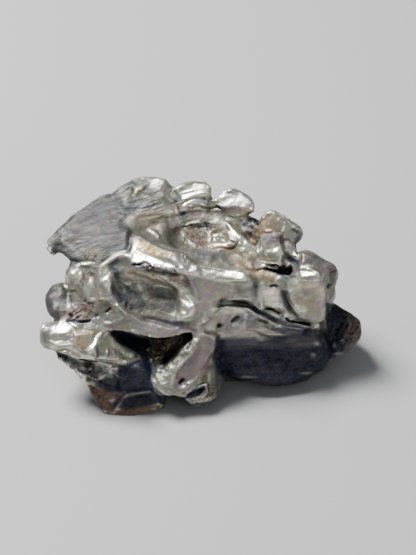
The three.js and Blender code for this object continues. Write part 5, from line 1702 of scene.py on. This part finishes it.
class Graph:
    """The node tree of one material."""

    def __init__(self, name: str) -> None:
        """Starts an empty material of that name."""
        self.material = bpy.data.materials.new(name)
        self.material.use_nodes = True
        self.tree = self.material.node_tree
        self.tree.nodes.clear()

    def add(self, kind: str, settings: dict[str, object] | None = None,
            sockets: dict[str | int, object] | None = None) -> bpy.types.Node:
        """Adds a node.

        Args:
            kind: Its type, without the part that all shader nodes share.
            settings: What it does, which is set first.
            sockets: A value, a Value or a socket for each input, by name or by place.

        Returns:
            The node.
        """
        made = self.tree.nodes.new("ShaderNode" + kind)
        for name, value in (settings or {}).items():
            setattr(made, name, value)
        for name, value in (sockets or {}).items():
            self._put(made.inputs[name], value)
        return made

    def _put(self, target: bpy.types.NodeSocket, value: object) -> None:
        """Links or sets one input."""
        if isinstance(value, Value):
            self.tree.links.new(value.socket, target)
        elif isinstance(value, bpy.types.NodeSocket):
            self.tree.links.new(value, target)
        elif target.type == "RGBA":
            target.default_value = (*value, 1.0)
        else:
            target.default_value = value

    def maths(
        self, operation: str, first: "Value | float", second: "Value | float" = 0.0, clamp: bool = False,
    ) -> Value:
        """Returns the result of one operation on two values."""
        made = self.add("Math", {"operation": operation, "use_clamp": clamp}, {0: first, 1: second})
        return Value(self, made.outputs[0])

    def clamped(self, value: Value) -> Value:
        """Returns a value held between 0 and 1."""
        return self.maths("ADD", value, 0.0, clamp=True)

    def share(self, layer: Layer) -> Value:
        """Returns a layer's share of the surface."""
        made = self.add("Attribute", {"attribute_type": "GEOMETRY", "attribute_name": layer.value})
        return Value(self, made.outputs["Fac"])

    def blend(self, amount: Value, first: object, second: object) -> bpy.types.NodeSocket:
        """Returns a colour between two, by an amount."""
        made = self.add("Mix", {"data_type": "RGBA"}, {0: amount, 6: first, 7: second})
        return made.outputs[2]

    def vector(self, operation: str, *values: object) -> bpy.types.NodeSocket:
        """Returns the result of one operation on vectors or colours."""
        return self.add("VectorMath", {"operation": operation}, dict(enumerate(values))).outputs[0]

    def scaled(self, vector: object, factor: "Value | float") -> bpy.types.NodeSocket:
        """Returns a vector or a colour multiplied by a number."""
        return self.add("VectorMath", {"operation": "SCALE"}, {0: vector, 3: factor}).outputs[0]

    def squeezed(self, place: bpy.types.NodeSocket, way: Triple, length: float) -> bpy.types.NodeSocket:
        """Draws places together along one way.

        Args:
            place: The places.
            way: The way, at length one.
            length: How many times longer what is drawn at the places comes out.

        Returns:
            The moved places.
        """
        along = self.add("VectorMath", {"operation": "DOT_PRODUCT"}, {0: place, 1: way}).outputs["Value"]
        return self.vector("ADD", place, self.scaled(way, Value(self, along) * (1.0 / length - 1.0)))

    def swayed(self, place: bpy.types.NodeSocket, size: float, reach: float) -> bpy.types.NodeSocket:
        """Sways places this way and that, so that what is drawn there comes out wavy.

        Args:
            place: The places.
            size: How long the waves are.
            reach: How far a place may move.

        Returns:
            The moved places.
        """
        sway = self.add("TexNoise", {}, {"Vector": place, "Scale": 1.0 / size, "Detail": 2.0}).outputs["Color"]
        return self.vector("ADD", place, self.scaled(self.vector("SUBTRACT", sway, (0.5, 0.5, 0.5)), 2.0 * reach))

    def noise(self, place: bpy.types.NodeSocket, size: float, detail: float = 3.0, roughness: float = 0.55) -> Value:
        """Returns fractal noise with lumps of that size."""
        made = self.add("TexNoise", {}, {"Vector": place, "Scale": 1.0 / size, "Detail": detail,
                                         "Roughness": roughness})
        return Value(self, made.outputs["Fac"])


@dataclass
class IronFinish:
    """The one material of the meteorite: bare iron under its layers."""

    mottle_size: float = 1.1
    speck_size: float = 0.28
    ragged: tuple[float, float] = (0.55, 0.4)
    tint_scale: float = 0.6
    darkest: float = 0.25
    bump_strength: float = 0.45
    bump_depth: float = 0.3
    specular: float = 0.3

    def __post_init__(self) -> None:
        """Starts the material."""
        self.graph = Graph("nickel_iron_skin")

    def build(self) -> bpy.types.Material:
        """Wires the material up and returns it."""
        graph = self.graph
        place = self._place()
        mottle = graph.noise(place, self.mottle_size, 4.0, 0.6)
        speck = graph.noise(place, self.speck_size, 3.0, 0.6)
        relief = self._relief(place, speck)
        colour: object = METAL.colour
        metal: Value | float = METAL.metal
        roughness: Value | float = METAL.roughness
        for layer, finish in FINISHES.items():
            amount = self._broken(graph.share(layer), mottle, speck)
            colour = graph.blend(amount, colour, finish.colour)
            metal = self._towards(metal, finish.metal, amount)
            roughness = self._towards(roughness, finish.roughness, amount)
        # The colour is mottled at random and made darker where the fine relief is low, which is painted shade of the
        # relief.
        mottle_and_relief_shade = graph.maths("MAXIMUM", 0.33 + mottle * 0.5 + relief * 0.84, self.darkest)
        rough = graph.clamped(roughness + (0.5 - relief) * 0.5 + graph.share(ROUGH) * 0.12)
        tint = graph.add("TexNoise", {}, {"Vector": place, "Scale": self.tint_scale, "Detail": 4.0, "Roughness": 0.6})
        hue = graph.vector("MULTIPLY_ADD", tint.outputs["Color"], (0.5, 0.3, 0.5), (0.75, 0.85, 0.75))
        tinted = graph.vector("MULTIPLY", graph.scaled(colour, mottle_and_relief_shade), hue)
        bump = graph.add("Bump", {}, {
            "Strength": self.bump_strength, "Distance": self.bump_depth * MM, "Height": relief,
        })
        shader = graph.add("BsdfPrincipled", {}, {
            "Base Color": tinted, "Metallic": metal, "Roughness": rough, "Normal": bump.outputs[0],
            "Specular IOR Level": self.specular,
        })
        graph.add("OutputMaterial", {}, {"Surface": shader.outputs[0]})
        return graph.material

    def _place(self) -> bpy.types.NodeSocket:
        """Returns where a point is, in millimetres."""
        return self.graph.scaled(self.graph.add("TexCoord").outputs["Object"], 1.0 / MM)

    def _broken(self, share: Value, mottle: Value, speck: Value) -> Value:
        """Returns a layer's share with ragged edges."""
        broad, fine = self.ragged
        return self.graph.clamped(share + (mottle - 0.5) * broad * share + (speck - 0.5) * fine * share)

    def _towards(self, now: "Value | float", aim: "Value | float", amount: Value) -> Value:
        """Returns a number moved towards another by an amount."""
        return now + (aim - now) * amount if isinstance(now, Value) else amount * (aim - now) + now

    def _relief(self, place: bpy.types.NodeSocket, speck: Value) -> Value:
        """Returns the height of the fine relief, about 0.5 on average: ripples, streaks, bands and grit."""
        graph = self.graph
        ripple = graph.noise(graph.squeezed(place, (0.8, 0.6, 0.0), 1.6), 0.75, 3.0, 0.5)
        bent = graph.swayed(place, 2.5, 0.5)
        streaks = graph.noise(graph.squeezed(bent, (0.906, 0.211, 0.365), 4.5), 0.42, 3.0, 0.5)
        bands = graph.noise(graph.squeezed(place, (1.0, 0.0, 0.0), 7.0), 0.5, 3.0, 0.5)
        height = self._towards(ripple * 0.75 + speck * 0.25, streaks * 0.6 + 0.2, graph.share(STREAKS))
        height = self._towards(height, bands, graph.share(BANDS))
        return height + (speck - 0.5) * graph.share(ROUGH) * 0.7


@dataclass
class Studio:
    """A pale floor, one soft key light, a faint fill, and the camera."""

    floor_size: float = 900.0
    floor_colour: Triple = (0.50, 0.495, 0.49)
    floor_roughness: float = 0.9
    key_from: Triple = (-0.44, 0.20, 0.875)
    key_distance: float = 420.0
    key_size: float = 130.0
    key_power: float = 1.9
    fill_from: Triple = (0.5, -0.7, 0.5)
    fill_distance: float = 500.0
    fill_size: float = 300.0
    fill_power: float = 0.25
    sky_colour: Triple = (0.86, 0.93, 1.0)
    sky_level: float = 0.2
    exposure: float = 0.2

    def build(self, view: Viewpoint) -> None:
        """Sets the studio up around the origin."""
        self._floor()
        self._light("key", self.key_from, self.key_distance, self.key_size, self.key_power)
        self._light("fill", self.fill_from, self.fill_distance, self.fill_size, self.fill_power)
        settings = bpy.context.scene.view_settings
        settings.view_transform = "AgX"
        settings.look = "AgX - High Contrast"
        settings.exposure = self.exposure
        world = bpy.data.worlds.new("studio")
        bpy.context.scene.world = world
        world.use_nodes = True
        sky = world.node_tree.nodes["Background"].inputs
        sky["Color"].default_value = (*self.sky_colour, 1.0)
        sky["Strength"].default_value = self.sky_level
        self._camera(view)

    def _floor(self) -> None:
        """Lays the floor."""
        half = 0.5 * self.floor_size * MM
        mesh = bpy.data.meshes.new("floor")
        mesh.from_pydata([(-half, -half, 0), (half, -half, 0), (half, half, 0), (-half, half, 0)], [], [(0, 1, 2, 3)])
        graph = Graph("floor_paint")
        shader = graph.add("BsdfPrincipled", {}, {"Base Color": self.floor_colour, "Roughness": self.floor_roughness})
        graph.add("OutputMaterial", {}, {"Surface": shader.outputs[0]})
        mesh.materials.append(graph.material)
        placed("floor", mesh)

    def _light(self, name: str, way: Triple, distance: float, size: float, power: float) -> None:
        """Hangs one square light that looks at the meteorite.

        Args:
            name: Its name.
            way: The direction from the meteorite to it.
            distance: How far away it hangs.
            size: How wide it is.
            power: How bright it is, in watts.
        """
        data = bpy.data.lights.new(name, "AREA")
        data.size = size * MM
        data.energy = power
        lamp = placed(name, data)
        direction = Vector(way).normalized()
        lamp.location = direction * distance * MM + Vector((0, 0, 0.01))
        lamp.rotation_euler = direction.to_track_quat("Z", "Y").to_euler()

    def _camera(self, view: Viewpoint) -> None:
        """Stands the camera up."""
        data = bpy.data.cameras.new("camera")
        data.lens = view.lens()
        data.sensor_width = view.sensor
        data.clip_start = 0.01
        camera = placed("camera", data)
        camera.location = Vector(view.eye) * MM
        look = Vector(view.eye) - Vector(view.aim)
        camera.rotation_euler = look.to_track_quat("Z", "Y").to_euler()
        bpy.context.scene.camera = camera


@dataclass
class Meteorite:
    """The whole meteorite: one skin, carved and stained form by form."""

    node: bpy.types.Object
    view: Viewpoint
    forms: tuple[type[Form], ...] = (
        Wing, Slabs, UpperHollow, Ridge, FrontBowl, LeftKnuckles, Paw, Foot, Cleft, Strut, Shelf, CornerBlock,
        EndBlock, Tongue, DarkFace, RustedLobe,
    )

    def __post_init__(self) -> None:
        """Takes the skin off the solid."""
        self.skin = Skin(self.node, self.view, Noise(SEED))
        self.parts = [kind() for kind in self.forms]
        self.far_side = FarSide()
        self.weather = Weather()

    def build(self) -> bpy.types.Object:
        """Carves, stains and finishes the skin, and returns it as an object."""
        skin = self.skin
        self.far_side.carve(skin)
        skin.look_again()
        self.weather.carve(skin)
        skin.look_again()
        for part in self.parts:
            part.carve(skin)
            LOG.info("carved %s", type(part).__name__)
        skin.relax(1)
        skin.look_again()
        for part in self.parts:
            part.crumble(skin)
        self.far_side.stain(skin)
        self.weather.stain(skin)
        for part in self.parts:
            part.stain(skin)
            LOG.info("stained %s", type(part).__name__)
        skin.points[:, 2] = np.maximum(skin.points[:, 2], 0.0)
        made = skin.as_object("meteorite_skin")
        made.data.materials.append(IronFinish().build())
        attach(made, BODY)
        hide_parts(NODE)
        LOG.info("%s: %d points, %d triangles", made.name, len(skin.points), len(skin.triangles))
        return made


def main() -> None:
    """Builds the meteorite and its studio, in order."""
    logging.basicConfig(level=logging.INFO, format="%(message)s")
    view = Viewpoint()
    Meteorite(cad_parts[NODE], view).build()
    Studio().build(view)


if __name__ == "__main__":
    main()
